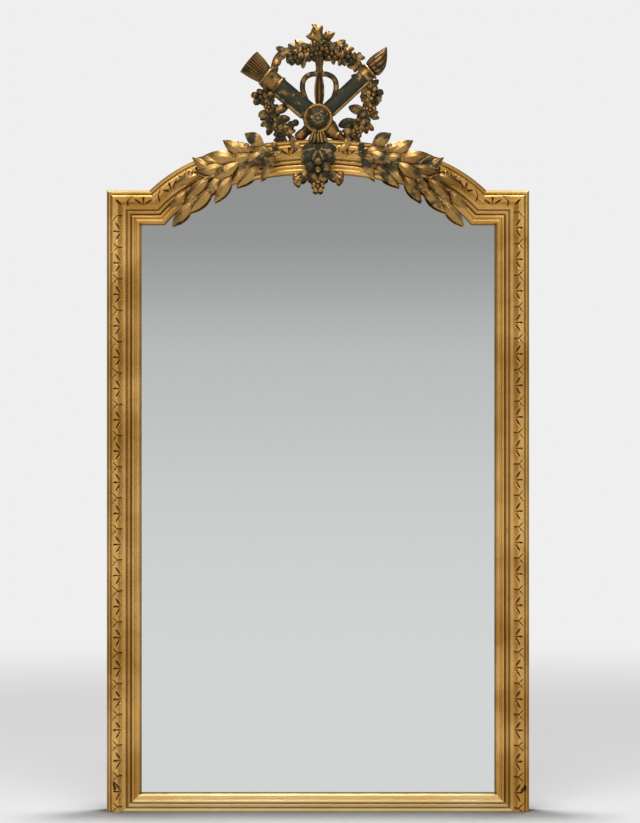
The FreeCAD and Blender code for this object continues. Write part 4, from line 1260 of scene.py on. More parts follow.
@dataclass(frozen=True)
class FlowerPattern:
    """Open flower facing +Z, with domed petals about a berry-like eye."""

    radius: float
    petals: int = 5
    cup: float = 8.0
    breadth_share: float = 0.86
    eye_share: float = 0.27
    eye_lift_share: float = 0.2
    root_share: float = 0.12
    rise_share: float = 0.26
    thickness_share: float = 0.13
    petal_breadth_shares: Shares = (0.3, 0.62, 0.94, 1.04, 0.9, 0.44)
    petal_arch_shares: Shares = (-0.06, 0.06, 0.12, 0.1, 0.0, -0.2)
    petal_section_shares: Shares = (0.0, 0.78, 1.0, 0.78, 0.0)

    def build(self) -> Piece:
        """Model one petal, copy it round and set the eye."""
        petal = LeafPattern(
            length=self.radius * (1 - self.root_share),
            breadth=self.radius * self.breadth_share,
            rise=self.radius * self.rise_share,
            thickness=self.radius * self.thickness_share,
            breadth_shares=self.petal_breadth_shares,
            arch_shares=self.petal_arch_shares,
            section_shares=self.petal_section_shares,
        ).build()
        lean = Matrix.Rotation(math.radians(-self.cup), 4, "Y")
        out = Matrix.Translation((self.root_share * self.radius, 0.0, 0.0))
        copies = [
            copied(petal, Matrix.Rotation(2 * math.pi * index / self.petals, 4, "Z") @ out @ lean)
            for index in range(self.petals)
        ]
        drop(petal)
        eye = BerryPattern(self.eye_share * self.radius).build()
        eye.data.transform(Matrix.Translation((0.0, 0.0, self.eye_lift_share * self.radius)))
        return joined([*copies, eye])


@dataclass(frozen=True)
class Spray:
    """A leaf, flower or berry of the wreath: its angle, distance share, size share and heading."""

    angle: float
    distance: float
    size: float
    heading: float = 90.0


STALK_WAIST = 0.75
STALK_SIDES = 10


def stalk(start: Vector, end: Vector, thickness: float) -> Piece:
    """Short stalk between two points, a little thicker at its ends.

    Args:
        start: Where it leaves its stem.
        end: What it carries.
        thickness: Its radius at the ends.

    Returns:
        The stalk.
    """
    run = end - start
    middle = (0.5 * run.length, STALK_WAIST * thickness)
    piece = turned(((0.0, thickness), middle, (run.length, thickness)), STALK_SIDES)
    basis = run.to_track_quat("Z", "Y").to_matrix().to_4x4()
    piece.data.transform(Matrix.Translation(start) @ basis)
    return piece


@dataclass(frozen=True)
class LaurelLeaf:
    """A leaf of a laurel branch: station, shift outwards, splay, size share, layer and breadth share."""

    station: float
    shift: float
    splay: float
    size: float
    layer: int
    breadth: float = 1.0


@dataclass
class LaurelBranches:
    """Laurel branch on each haunch of the arch."""

    lines: FrameLines
    front: float
    leaf_length: float = 0.082
    leaf_breadth: float = 0.030
    leaf_rise: float = 0.0090
    leaf_section: Shares = (0.0, 0.3, 0.5, 0.7, 1.0, 0.7, 0.5, 0.3, 0.0)
    start: float = 0.095
    end: float = 0.325
    start_offset: float = 0.021
    end_offset: float = 0.052
    stem_radius: float = 0.0055
    stem_shift: float = -0.2
    stem_stations: Shares = (0.0, 0.25, 0.5, 0.75, 0.96)
    berry_radius: float = 0.007
    seat: float = 0.003
    layer_step: float = 0.0034
    leaf_stalk: float = 0.0032
    leaf_stalk_back: float = 0.06
    leaf_pitch: float = 3.0
    leaf_roll: float = 7.0
    roll_turn: float = 2.4
    berry_stalk: float = 0.0025
    berry_stalk_back: float = 0.03
    leaves: tuple[LaurelLeaf, ...] = (
        LaurelLeaf(0.2, 0.3, 30.0, 0.82, 0),
        LaurelLeaf(0.5, 0.25, 26.0, 0.82, 0),
        LaurelLeaf(0.25, -0.4, -32.0, 0.86, 0),
        LaurelLeaf(0.55, -0.5, -34.0, 0.86, 0),
        LaurelLeaf(0.8, -0.7, -22.0, 0.8, 0),
        LaurelLeaf(0.03, 0.0, 8.0, 0.72, 0),
        LaurelLeaf(0.5, 0.1, 0.0, 0.9, 1),
        LaurelLeaf(0.22, 0.1, -2.0, 0.86, 1),
        LaurelLeaf(0.11, 0.65, 40.0, 0.64, 0, 1.7),
        LaurelLeaf(0.3, 0.4, 44.0, 0.74, 0, 1.35),
        LaurelLeaf(0.36, 0.2, 16.0, 1.08, 1),
        LaurelLeaf(0.62, 0.0, 52.0, 0.74, 0),
        LaurelLeaf(0.75, 0.35, 1.0, 0.74, 1),
        LaurelLeaf(0.1, 0.1, -21.0, 0.86, 2),
        LaurelLeaf(0.36, -0.05, -21.0, 0.98, 2),
        LaurelLeaf(0.68, -0.3, -21.0, 0.92, 2),
        LaurelLeaf(0.9, -0.2, -14.0, 0.7, 2),
        LaurelLeaf(0.02, -0.4, -53.0, 0.78, 1),
        LaurelLeaf(0.17, -0.78, -32.0, 0.92, 1),
        LaurelLeaf(0.46, -0.74, -44.0, 0.92, 1),
        LaurelLeaf(0.67, -1.1, -24.0, 1.0, 1),
        LaurelLeaf(0.9, -1.1, -17.0, 0.9, 1),
    )
    berries: Points = (
        (0.01, 0.4), (0.05, 0.0), (0.27, 0.95), (0.39, -0.85), (0.64, -1.15), (0.86, -1.1), (0.8, 0.75),
    )

    def beside(self, station: float, shift: float, depth: float) -> tuple[Vector, float]:
        """Point beside the right branch.

        Args:
            station: Share of the way along the branch.
            shift: Distance outwards, as a share of a leaf's breadth.
            depth: Depth of the point.

        Returns:
            The point, and the branch's slope there in degrees.
        """
        offset = self.start_offset + station * (self.end_offset - self.start_offset)
        across = self.start + station * (self.end - self.start)
        height, slope = self.lines.above(offset, across)
        place = polar(Vector((across, depth, height)), shift * self.leaf_breadth, slope + 90.0)
        return place, slope

    def stem(self) -> Piece:
        """Stem that the leaves of the right branch spring from."""
        depth = self.front - self.stem_radius / 2
        points = [self.beside(share, self.stem_shift, depth)[0] for share in self.stem_stations]
        return bent_wire(points, self.stem_radius)

    def right(self) -> Piece:
        """Model the right branch.

        Returns:
            The branch with its leaves and berries.
        """
        size = (self.leaf_length, self.leaf_breadth, self.leaf_rise)
        pattern = LeafPattern(*size, section_shares=self.leaf_section, smoothing=2)
        leaf = pattern.build()
        berry = BerryPattern(self.berry_radius).build()
        pieces = [self.stem()]
        seat = self.front - self.seat
        for index, part in enumerate(self.leaves):
            root, slope = self.beside(part.station, part.shift, seat - part.layer * self.layer_step)
            start, _ = self.beside(part.station - self.leaf_stalk_back, self.stem_shift, seat)
            pieces.append(stalk(start, root, self.leaf_stalk))
            roll = self.leaf_roll * math.sin(self.roll_turn * index)
            matrix = facing_front(root, slope + part.splay, part.size, self.leaf_pitch, roll)
            pieces.append(copied(leaf, matrix @ Matrix.Diagonal((1.0, part.breadth, 1.0, 1.0))))
        for station, shift in self.berries:
            place, slope = self.beside(station, shift, self.front - self.berry_radius)
            start, _ = self.beside(station - self.berry_stalk_back, self.stem_shift, seat)
            pieces.append(stalk(start, place, self.berry_stalk))
            pieces.append(copied(berry, facing_front(place, slope)))
        drop(leaf)
        drop(berry)
        return joined(pieces)

    def build(self, left_gilt: Material, right_gilt: Material) -> None:
        """Make both branches and dress them.

        Args:
            left_gilt: Finish of the left branch.
            right_gilt: Finish of the right branch.
        """
        right = self.right()
        left = mirrored(right)
        carve(right, "right_laurel_branch", right_gilt, Slot.GILDING)
        carve(left, "left_laurel_branch", left_gilt, Slot.GILDING)


# Crest

@dataclass(frozen=True)
class CrestLines:
    """Crossing of the quiver and the torch, and the flat back of the crest."""

    crossing: Vector
    back: float
    quiver_radius: float = 0.022
    flat_depth: float = 0.0015

    @classmethod
    def from_frame(cls) -> "CrestLines":
        """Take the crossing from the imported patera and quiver."""
        low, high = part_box("patera")
        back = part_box("quiver_body")[1].y
        axis = back - cls.quiver_radius + cls.flat_depth
        return cls(Vector(((low.x + high.x) / 2, axis, (low.z + high.z) / 2)), back)

    def axis(self, angle: float) -> Matrix:
        """Matrix that sets a piece turned about +Z on an axis out of the crossing."""
        turn = math.radians(angle)
        along = Vector((math.cos(turn), 0.0, math.sin(turn)))
        back = Vector((0.0, 1.0, 0.0))
        basis = Matrix((back.cross(along), back, along)).transposed().to_4x4()
        return Matrix.Translation(self.crossing) @ basis


@dataclass(frozen=True)
class CrestFinishes:
    """Gold, browned, darkened and blackened finishes of the crest."""

    gold: Material
    brown: Material
    dark: Material
    black: Material


@dataclass
class CrestPiece:
    """A part of the crest, with the crest's lines and finishes."""

    lines: CrestLines
    finishes: CrestFinishes


@dataclass
class CrestRod(CrestPiece):
    """Quiver or torch: turned pieces on one axis out of the crossing, with a bead along the edge."""

    angle: float = 0.0
    radius: float = 0.0
    start: float = 0.0
    reach: float = 0.0
    tail_reach: float = 0.0
    tail_radius: float = 0.0
    tail_shares: Points = ()
    bead_radius: float = 0.0
    bead_angle: float = 0.0
    bead_start: float = 0.03
    bead_nose: float = 0.002
    bead_nose_share: float = 0.4
    bead_sides: int = 14

    def seated(self, piece: Piece, rise: float = 0.0) -> Piece:
        """Set a turned piece on the axis, with a flat back that may stand out a little."""
        piece.data.transform(self.lines.axis(self.angle))
        flat_backed(piece, self.lines.back + rise)
        return piece

    def shaft(self) -> Piece:
        """Plain round body."""
        return self.seated(turned([(self.start, self.radius), (self.reach, self.radius)]))

    def tail(self) -> Piece:
        """Tail that tapers from the body to its end."""
        span = self.tail_reach + self.start
        rows = (*self.tail_shares, (1.0, self.radius / self.tail_radius))
        stations = [(share * span - self.tail_reach, size * self.tail_radius) for share, size in rows]
        return self.seated(turned(stations))

    def bead(self, reach: float) -> Piece:
        """Thin rod let into the side of the body.

        Args:
            reach: How far it runs from the crossing.

        Returns:
            The rod.
        """
        full, thin = self.bead_radius, self.bead_nose_share * self.bead_radius
        first, last = self.bead_start + self.bead_nose, reach - self.bead_nose
        stations = ((self.bead_start, thin), (first, full), (last, full), (reach, thin))
        rod = turned(stations, self.bead_sides)
        aside = Matrix.Translation((0.0, -self.radius, 0.0))
        rod.data.transform(Matrix.Rotation(self.bead_angle, 4, "Z") @ aside)
        rod.data.transform(self.lines.axis(self.angle))
        return rod


@dataclass
class Quiver(CrestRod):
    """Quiver with its bands, the feathers of its arrows, its tail and the bead along its edge."""

    angle: float = 140.0
    radius: float = 0.022
    start: float = -0.034
    reach: float = 0.157
    band_width: float = 0.0065
    band_rise: float = 0.003
    band_seat: float = 0.001
    band_shares: tuple[float, float] = (0.77, 1.0)
    band_section: Points = ((0.05, 0.97), (0.3, 1.0), (0.7, 1.0), (0.95, 0.97))
    neck_rise: float = 0.0005
    feather_length: float = 0.049
    feather_radius: float = 0.0305
    feather_ridges: int = 26
    feather_roots: Points = ((0.0, 0.96), (0.12, 1.04))
    feather_shares: Points = ((0.5, 0.90), (1.0, 1.0), (1.0, 0.82), (0.88, 0.74))
    feather_flute: Point = (0.91, 0.8)
    tail_reach: float = 0.096
    tail_radius: float = 0.010
    tail_shares: Points = (
        (0.0, 0.3), (0.03, 0.8), (0.1, 1.0), (0.2, 0.95), (0.24, 0.78), (0.55, 1.25), (0.6, 1.5),
        (0.66, 1.5), (0.7, 1.35),
    )
    bead_radius: float = 0.0052
    bead_angle: float = math.radians(-62.0)

    def band(self, start: float) -> Piece:
        """Rounded band about the body."""
        inner, outer = self.radius - self.band_seat, self.radius + self.band_rise
        rows = [(share, size * outer) for share, size in self.band_section]
        rows = [(0.0, inner), *rows, (1.0, inner)]
        return turned([(start + share * self.band_width, radius) for share, radius in rows])

    def feathers(self) -> Piece:
        """Flared and ridged block of arrow feathers, hollow at its end."""
        length, sides = self.feather_length, 2 * self.feather_ridges
        shares = [(share, size * self.radius) for share, size in self.feather_roots]
        shares += [(share, size * self.feather_radius) for share, size in self.feather_shares]
        stations = [(self.reach + share * length, radius) for share, radius in shares]
        piece = turned(stations, sides)
        fluted(piece, sides, *self.feather_flute)
        return piece

    def build(self) -> None:
        """Make the quiver's pieces and dress them."""
        gold, brown = self.finishes.gold, self.finishes.brown
        carve(self.shaft(), "quiver_body", self.finishes.black, Slot.CREST_PATINA)
        starts = [share * (self.reach - self.band_width) for share in self.band_shares]
        bands = [self.seated(self.band(start)) for start in starts]
        carve(joined(bands), "quiver_bands", gold)
        carve(self.seated(self.feathers()), "arrow_feathers", brown)
        carve(self.tail(), "quiver_tail", gold)
        neck = turned([(start, self.radius + self.neck_rise) for start in starts])
        settle(self.seated(neck, self.neck_rise), "quiver_neck", brown, Slot.CREST_GILDING)
        settle(self.bead(starts[0]), "quiver_edge_bead", gold, Slot.CREST_GILDING)


@dataclass
class Torch(CrestRod):
    """Torch with its collar, flame, tail and the bead along its edge."""

    angle: float = 43.0
    radius: float = 0.018
    reach: float = 0.158
    band_rows: Points = ((-0.016, 1.0), (-0.015, 1.07), (-0.004, 1.07), (-0.003, 1.01), (0.0, 1.01))
    collar_width: float = 0.007
    collar_rise: float = 0.0035
    collar_edge: Points = ((0.001, 0.96), (0.0025, 1.0))
    collar_lip: float = 0.8
    flame_length: float = 0.063
    flame_radius: float = 0.024
    flame_locks: int = 12
    flame_twist: float = math.radians(6.0)
    flame_flute: Point = (0.8, 0.9)
    flame_shares: tuple[tuple[float, float, float], ...] = (
        (0.0, 0.86, 0.0), (0.1, 0.95, 0.0), (0.22, 1.0, 0.01), (0.34, 0.99, 0.02), (0.46, 0.91, 0.04),
        (0.58, 0.78, 0.065), (0.7, 0.6, 0.1), (0.82, 0.4, 0.145), (0.92, 0.22, 0.19), (1.0, 0.05, 0.24),
    )
    ring_reach: float = 0.0005
    tail_reach: float = 0.066
    tail_radius: float = 0.013
    tail_shares: Points = ((0.0, 0.4), (0.04, 0.85), (0.12, 1.0), (0.3, 0.97), (0.36, 0.86))
    bead_radius: float = 0.0038
    bead_angle: float = math.radians(64.0)
    bead_stop: float = 0.012

    def collar(self) -> Piece:
        """Collar under the flame, with a low band before it."""
        outer, end = self.radius + self.collar_rise, self.reach + self.collar_width
        rows = [(self.reach + along, size * self.radius) for along, size in self.band_rows]
        rows += [(self.reach + along, size * outer) for along, size in self.collar_edge]
        rows += [(end - along, size * outer) for along, size in reversed(self.collar_edge)]
        return turned([*rows, (end, self.collar_lip * outer)])

    def flame(self) -> Piece:
        """Leaf-shaped flame of twisting locks that bends up to its tip."""
        foot, length, sides = self.reach + self.collar_width, self.flame_length, 2 * self.flame_locks
        stations = []
        for share, size, _ in self.flame_shares:
            stations.append((foot + share * length, size * self.flame_radius))
        piece = turned(stations, sides)
        fluted(piece, sides, *self.flame_flute)
        with Editing(piece) as edit:
            for index, (height, _) in enumerate(stations):
                edit.select(lambda place: abs(place.z - height) < self.ring_reach)
                edit.turn(index * self.flame_twist, "Z", (0.0, 0.0, height))
                edit.move(x=-self.flame_shares[index][2] * length)
        subdivide(piece, 2)
        return piece

    def build(self) -> None:
        """Make the torch's pieces and dress them."""
        gold = self.finishes.gold
        carve(self.shaft(), "torch_shaft", self.finishes.black, Slot.CREST_PATINA)
        carve(self.seated(self.collar()), "torch_collar", gold)
        carve(self.seated(self.flame()), "torch_flame", self.finishes.brown)
        carve(self.tail(), "torch_tail", gold)
        bead = self.bead(self.reach - self.bead_stop)
        settle(bead, "torch_edge_bead", gold, Slot.CREST_GILDING)


@dataclass
class Patera(CrestPiece):
    """Round patera on the crossing with its rosette, and the ribbed shell under it."""

    radius: float = 0.034
    depth: float = 0.028
    disc_sides: int = 56
    disc_shares: Points = (
        (0.0, 1.0), (0.78, 1.0), (0.9, 0.985), (0.98, 0.94), (1.0, 0.88), (0.97, 0.81), (0.88, 0.775),
        (0.8, 0.76), (0.78, 0.72), (0.84, 0.3), (0.85, 0.02),
    )
    rosette_radius: float = 0.0235
    rosette_seat: float = 0.0035
    inner_share: float = 0.62
    inner_lift: float = 0.0022
    inner_turn: float = 22.0
    shell_length: float = 0.026
    shell_root: float = 0.006
    shell_half_angle: float = 24.0
    shell_ribs: int = 5
    shell_rib_breadth: float = 0.0118
    shell_seat: float = -0.041

    def bezel(self) -> Piece:
        """Turned disc with a raised rim and a dished middle."""
        stations = [(share * self.depth, size * self.radius) for share, size in self.disc_shares]
        disc = turned(stations, self.disc_sides)
        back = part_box("patera")[1].y
        place = Vector((self.lines.crossing.x, back, self.lines.crossing.z))
        disc.data.transform(facing_front(place, 0.0))
        return disc

    def rosette(self) -> Piece:
        """Two rings of petals about an eye, in the dish of the patera."""
        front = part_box("patera")[0].y + self.rosette_seat
        place = Vector((self.lines.crossing.x, front, self.lines.crossing.z))
        outer = FlowerPattern(self.rosette_radius, petals=8, breadth_share=0.78, eye_share=0.2)
        small = self.inner_share * self.rosette_radius
        inner = FlowerPattern(small, petals=6, cup=30.0, breadth_share=0.9, eye_share=0.36)
        pieces = []
        for pattern, lift, turn in ((outer, 0.0, 0.0), (inner, self.inner_lift, self.inner_turn)):
            flower = pattern.build()
            flower.data.transform(facing_front(forward(place, lift), turn))
            pieces.append(flower)
        return joined(pieces)

    def shell(self) -> Piece:
        """Fan of rounded ribs that hangs from the patera's rim."""
        rib = LeafPattern(
            length=self.shell_length + self.shell_root,
            breadth=self.shell_rib_breadth,
            rise=0.0065,
            thickness=0.003,
            breadth_shares=(0.5, 0.58, 0.68, 0.78, 0.88, 0.97, 1.0, 0.86, 0.4),
            arch_shares=(0.0, 0.02, 0.035, 0.045, 0.05, 0.045, 0.03, 0.0, -0.05),
            section_shares=(0.0, 0.6, 0.9, 1.0, 0.9, 0.6, 0.0),
        ).build()
        step = 2 * self.shell_half_angle / self.shell_ribs
        centre = Vector((self.lines.crossing.x, self.shell_seat, self.lines.crossing.z))
        ribs = []
        for index in range(self.shell_ribs):
            heading = 270.0 - self.shell_half_angle + (index + 0.5) * step
            root = polar(centre, self.radius - self.shell_root, heading)
            ribs.append(copied(rib, facing_front(root, heading)))
        drop(rib)
        return joined(ribs)

    def build(self) -> None:
        """Make the patera, rosette and shell and dress them."""
        carve(self.bezel(), "patera", self.finishes.brown)
        carve(self.rosette(), "patera_rosette", self.finishes.black, Slot.CREST_PATINA)
        carve(self.shell(), "crest_shell", self.finishes.gold)


@dataclass
class RibbonKnot(CrestPiece):
    """Ribbed stem inside the wreath, and the ribbon loop on each side of it."""

    top: float
    sway: float = 0.003
    stem_radius: float = 0.0165
    stem_foot: float = 0.024
    stem_ends_share: float = 0.5
    stem_ribs: int = 6
    stem_stations: int = 11
    stem_flute: Point = (0.5, 1.0)
    swell_end: float = 0.106
    bracket_sides: int = 32
    bracket_flute: Point = (0.9, 0.6)
    bracket_shares: Points = (
        (0.0, 0.42), (0.12, 0.56), (0.2, 0.46), (0.4, 0.56), (0.7, 0.74), (0.8, 0.84), (0.88, 0.7),
        (1.0, 0.6),
    )
    wire_radius: float = 0.0062
    loop_points: Points = (
        (0.004, 0.1045), (0.020, 0.1030), (0.0340, 0.0930), (0.0385, 0.0760), (0.0345, 0.0560),
        (0.0255, 0.0370), (0.0150, 0.0240),
    )

    def stem(self) -> Piece:
        """Lens-shaped fluted stem between the loops, and the bracket over it that holds the wreath."""
        foot, sides = self.stem_foot, 2 * self.stem_ribs
        swell = 1 - self.stem_ends_share
        stations = []
        for share in np.linspace(0.0, 1.0, self.stem_stations):
            size = self.stem_ends_share + swell * math.sin(math.pi * share)
            stations.append((foot + share * (self.swell_end - foot), size * self.stem_radius))
        stem = turned(stations, sides)
        fluted(stem, sides, *self.stem_flute)
        stem.data.transform(Matrix.Rotation(math.pi / self.stem_ribs, 4, "Z"))
        subdivide(stem, 2)
        height = self.top - self.lines.crossing.z - self.swell_end
        stations = []
        for share, size in self.bracket_shares:
            stations.append((self.swell_end + share * height, size * self.stem_radius))
        bracket = turned(stations, self.bracket_sides)
        fluted(bracket, self.bracket_sides, *self.bracket_flute)
        stem = joined([stem, bracket])
        stem.data.transform(Matrix.Translation(self.lines.crossing + Vector((self.sway, 0.0, 0.0))))
        return stem

    def build(self) -> None:
        """Make the stem and the loops and dress them."""
        carve(self.stem(), "ribbon_stem", self.finishes.brown)
        points = [self.lines.crossing + Vector((x, 0.0, z)) for x, z in self.loop_points]
        right = bent_wire(points, self.wire_radius)
        for side, loop in (("right", right), ("left", mirrored(right))):
            loop.data.transform(Matrix.Translation((self.sway, 0.0, 0.0)))
            carve(loop, f"{side}_ribbon_loop", self.finishes.dark)


@dataclass(frozen=True)
class Garland:
    """One run of the wreath: angles and distances of its core, then its flowers, leaves and berries."""

    core: Points
    flowers: tuple[Spray, ...]
    leaves: tuple[Spray, ...]
    berries: tuple[Spray, ...]
    bare: float = 360.0

    def distance(self, angle: float) -> float:
        """Distance share of the core at an angle."""
        return float(np.interp(angle, *zip(*sorted(self.core))))


@dataclass
class Wreath(CrestPiece):
    """Flower wreath in four runs, between the quiver, the torch and the arch."""

    lift: float = 0.044
    radius: float = 0.118
    stem_radius: float = 0.0078
    stalk_radius: float = 0.0032
    flower_radius: float = 0.019
    leaf_length: float = 0.042
    leaf_breadth: float = 0.0225
    berry_radius: float = 0.0062
    leaf_rise: float = 0.0055
    leaf_thickness: float = 0.0024
    leaf_lift: float = 0.008
    flower_lift: float = 0.013
    spray_pitch: float = 4.0
    spray_roll: float = 16.0
    roll_turn: float = 2.1
    filler_start: float = 4.0
    filler_step: float = 7.5
    filler_stagger: float = 3.0
    filler_splay: float = 48.0
    filler_lift: float = 0.003
    filler_size: float = 0.7
    filler_vary: float = 0.1
    filler_turn: float = 3.0
    upper_left: Garland = Garland(
        core=(
            (92.0, 0.93), (102.0, 0.94), (113.0, 1.04), (121.7, 1.13), (130.7, 1.15), (139.0, 1.1),
            (152.0, 0.97),
        ),
        flowers=(
            Spray(118.5, 0.92, 1.1), Spray(106.0, 0.97, 0.9), Spray(93.7, 1.04, 0.7),
            Spray(97.7, 0.86, 0.9),
        ),
        leaves=(
            Spray(108.0, 0.86, 0.6, 262.0), Spray(112.0, 1.0, 0.75, 140.0),
            Spray(101.0, 0.92, 0.6, 245.0), Spray(118.0, 1.08, 0.6, 175.0),
            Spray(97.0, 0.98, 0.7, 150.0), Spray(153.0, 0.98, 0.75, 74.0),
            Spray(145.0, 1.05, 0.75, 58.0), Spray(137.0, 1.11, 0.75, 38.0),
            Spray(130.0, 1.13, 0.7, 14.0),
        ),
        berries=(
            Spray(114.0, 0.86, 0.9), Spray(106.0, 0.9, 1.0), Spray(123.0, 0.96, 0.8),
            Spray(101.0, 1.06, 0.9),
        ),
        bare=124.0,
    )
    upper_right: Garland = Garland(
        core=(
            (92.0, 0.93), (85.0, 0.95), (70.0, 0.97), (56.0, 1.02), (47.0, 1.06), (37.0, 1.03),
            (28.0, 0.97),
        ),
        flowers=(
            Spray(83.2, 1.05, 0.75), Spray(73.0, 0.92, 1.0), Spray(55.0, 1.0, 1.2),
            Spray(64.0, 1.04, 0.85),
        ),
        leaves=(
            Spray(74.0, 0.93, 0.62, -75.0), Spray(68.0, 0.98, 0.75, 60.0), Spray(63.0, 1.04, 0.7, 20.0),
            Spray(71.0, 0.93, 0.6, 215.0), Spray(60.0, 0.98, 0.6, 245.0), Spray(80.0, 1.0, 0.7, 30.0),
        ),
        berries=(
            Spray(87.3, 0.9, 1.1), Spray(61.0, 1.1, 0.9), Spray(60.0, 0.94, 0.9), Spray(72.0, 1.06, 0.9),
        ),
    )
    lower_left: Garland = Garland(
        core=(
            (162.0, 0.98), (172.0, 1.04), (183.0, 1.0), (193.0, 0.93), (203.0, 0.97), (213.0, 0.97),
            (228.0, 1.0),
        ),
        flowers=(
            Spray(177.7, 1.13, 1.12), Spray(177.0, 0.92, 0.75), Spray(189.0, 0.95, 0.8),
            Spray(205.0, 0.99, 0.85), Spray(214.0, 0.92, 0.8), Spray(223.0, 1.02, 0.8),
        ),
        leaves=(
            Spray(195.0, 0.94, 1.02, 20.0), Spray(205.0, 0.95, 0.95, 10.0),
            Spray(203.6, 0.99, 0.66, 206.0), Spray(197.0, 0.99, 0.6, 185.0),
            Spray(214.0, 0.95, 0.95, 2.0), Spray(222.0, 0.98, 0.7, 300.0),
            Spray(190.0, 1.02, 0.6, 225.0), Spray(235.0, 0.94, 0.75, 95.0), Spray(226.0, 0.9, 0.6, 20.0),
        ),
        berries=(
            Spray(225.5, 0.62, 1.35), Spray(221.8, 0.7, 1.2), Spray(216.0, 0.9, 1.0),
            Spray(182.0, 1.0, 0.9), Spray(173.0, 0.93, 0.9), Spray(199.0, 0.9, 1.0),
        ),
    )
    lower_right: Garland = Garland(
        core=(
            (24.0, 0.98), (14.0, 1.0), (4.0, 1.02), (-8.0, 1.02), (-20.0, 0.98), (-31.0, 0.97),
            (-48.0, 1.0),
        ),
        flowers=(
            Spray(4.9, 1.1, 1.18), Spray(3.0, 0.91, 0.7), Spray(-11.0, 1.03, 0.8),
            Spray(-31.0, 0.91, 0.85), Spray(-28.0, 1.03, 0.75), Spray(-40.0, 0.98, 0.8),
        ),
        leaves=(
            Spray(-17.0, 1.0, 1.16, 153.0), Spray(-27.0, 0.85, 1.1, 196.0),
            Spray(-16.0, 1.03, 0.6, -20.0), Spray(-24.0, 1.0, 0.7, -50.0), Spray(-8.0, 1.0, 0.7, 35.0),
            Spray(-37.0, 0.98, 0.7, 235.0), Spray(-12.0, 0.97, 0.7, 215.0),
            Spray(-52.0, 0.94, 0.75, 85.0), Spray(-43.0, 0.95, 0.7, 165.0),
        ),
        berries=(
            Spray(-4.0, 0.98, 1.0), Spray(-26.0, 0.96, 1.0), Spray(-35.0, 0.9, 1.0),
            Spray(9.0, 0.96, 0.9), Spray(-22.0, 1.05, 0.9), Spray(-46.0, 0.98, 1.0),
        ),
    )

    @property
    def centre(self) -> Vector:
        """Middle of the wreath."""
        return self.lines.crossing + Vector((0.0, 0.0, self.lift))

    @property
    def top(self) -> float:
        """Height of the top of the wreath's stem."""
        return self.centre.z + self.radius

    def at(self, angle: float, distance: float, lift: float = 0.0) -> Vector:
        """Point at an angle and a distance share, lifted to the front."""
        return forward(polar(self.centre, distance * self.radius, angle), lift)

    def fillers(self, run: Garland) -> list[Spray]:
        """Small leaves that clothe the core between the larger sprays, left and right of it in turn."""
        angles = [angle for angle, _ in run.core]
        first, last = min(angles) + self.filler_start, min(max(angles), run.bare)
        leaves = []
        for index, angle in enumerate(np.arange(first, last, self.filler_step)):
            side = self.filler_splay if index % 2 else 180.0 - self.filler_splay
            size = self.filler_size + self.filler_vary * math.sin(self.filler_turn * index)
            distance = run.distance(angle)
            leaves.append(Spray(angle, distance, size, angle + 90.0 + side))
            leaves.append(Spray(angle + self.filler_stagger, distance, size, angle + 90.0 - side))
        return leaves

    def garland(self, run: Garland, patterns: Sequence[Piece]) -> Piece:
        """One run of the wreath.

        Args:
            run: Its core, flowers, leaves and berries.
            patterns: Patterns of the flower, leaf and berry.

        Returns:
            The run.
        """
        points = [self.at(angle, distance) for angle, distance in run.core]
        pieces = [bent_wire(points, self.stem_radius)]
        flower, leaf, berry = patterns
        rows = (
            (self.fillers(run), leaf, self.filler_lift), (run.leaves, leaf, self.leaf_lift),
            (run.flowers, flower, self.flower_lift), (run.berries, berry, self.flower_lift),
        )
        for sprays, pattern, lift in rows:
            for index, spray in enumerate(sprays):
                place = self.at(spray.angle, spray.distance, lift)
                root = self.at(spray.angle, run.distance(spray.angle))
                roll = self.spray_roll * math.sin(self.roll_turn * index + spray.angle)
                matrix = facing_front(place, spray.heading, spray.size, self.spray_pitch, roll)
                pieces += [stalk(root, place, self.stalk_radius), copied(pattern, matrix)]
        return joined(pieces)

    def build(self) -> None:
        """Make the four runs and dress them."""
        size = (self.leaf_length, self.leaf_breadth, self.leaf_rise, self.leaf_thickness)
        patterns = (
            FlowerPattern(self.flower_radius).build(),
            LeafPattern(*size, breadth_shares=ROUND_LEAF_SHARES).build(),
            BerryPattern(self.berry_radius).build(),
        )
        for word in ("upper_left", "upper_right", "lower_left", "lower_right"):
            run = self.garland(getattr(self, word), patterns)
            carve(run, f"wreath_{word}", self.finishes.dark, Slot.CREST_PATINA)
        for pattern in patterns:
            drop(pattern)


@dataclass(frozen=True)
class FinialLeaf:
    """A leaf of the finial: root across and up from the wreath's middle, heading, length and breadth."""

    across: float
    up: float
    heading: float
    length: float
    breadth: float


@dataclass(frozen=True)
class CutLeaf:
    """A leaf of the finial with an edge of its own: root across and up, heading and edge."""

    across: float
    up: float
    heading: float
    outline: Points


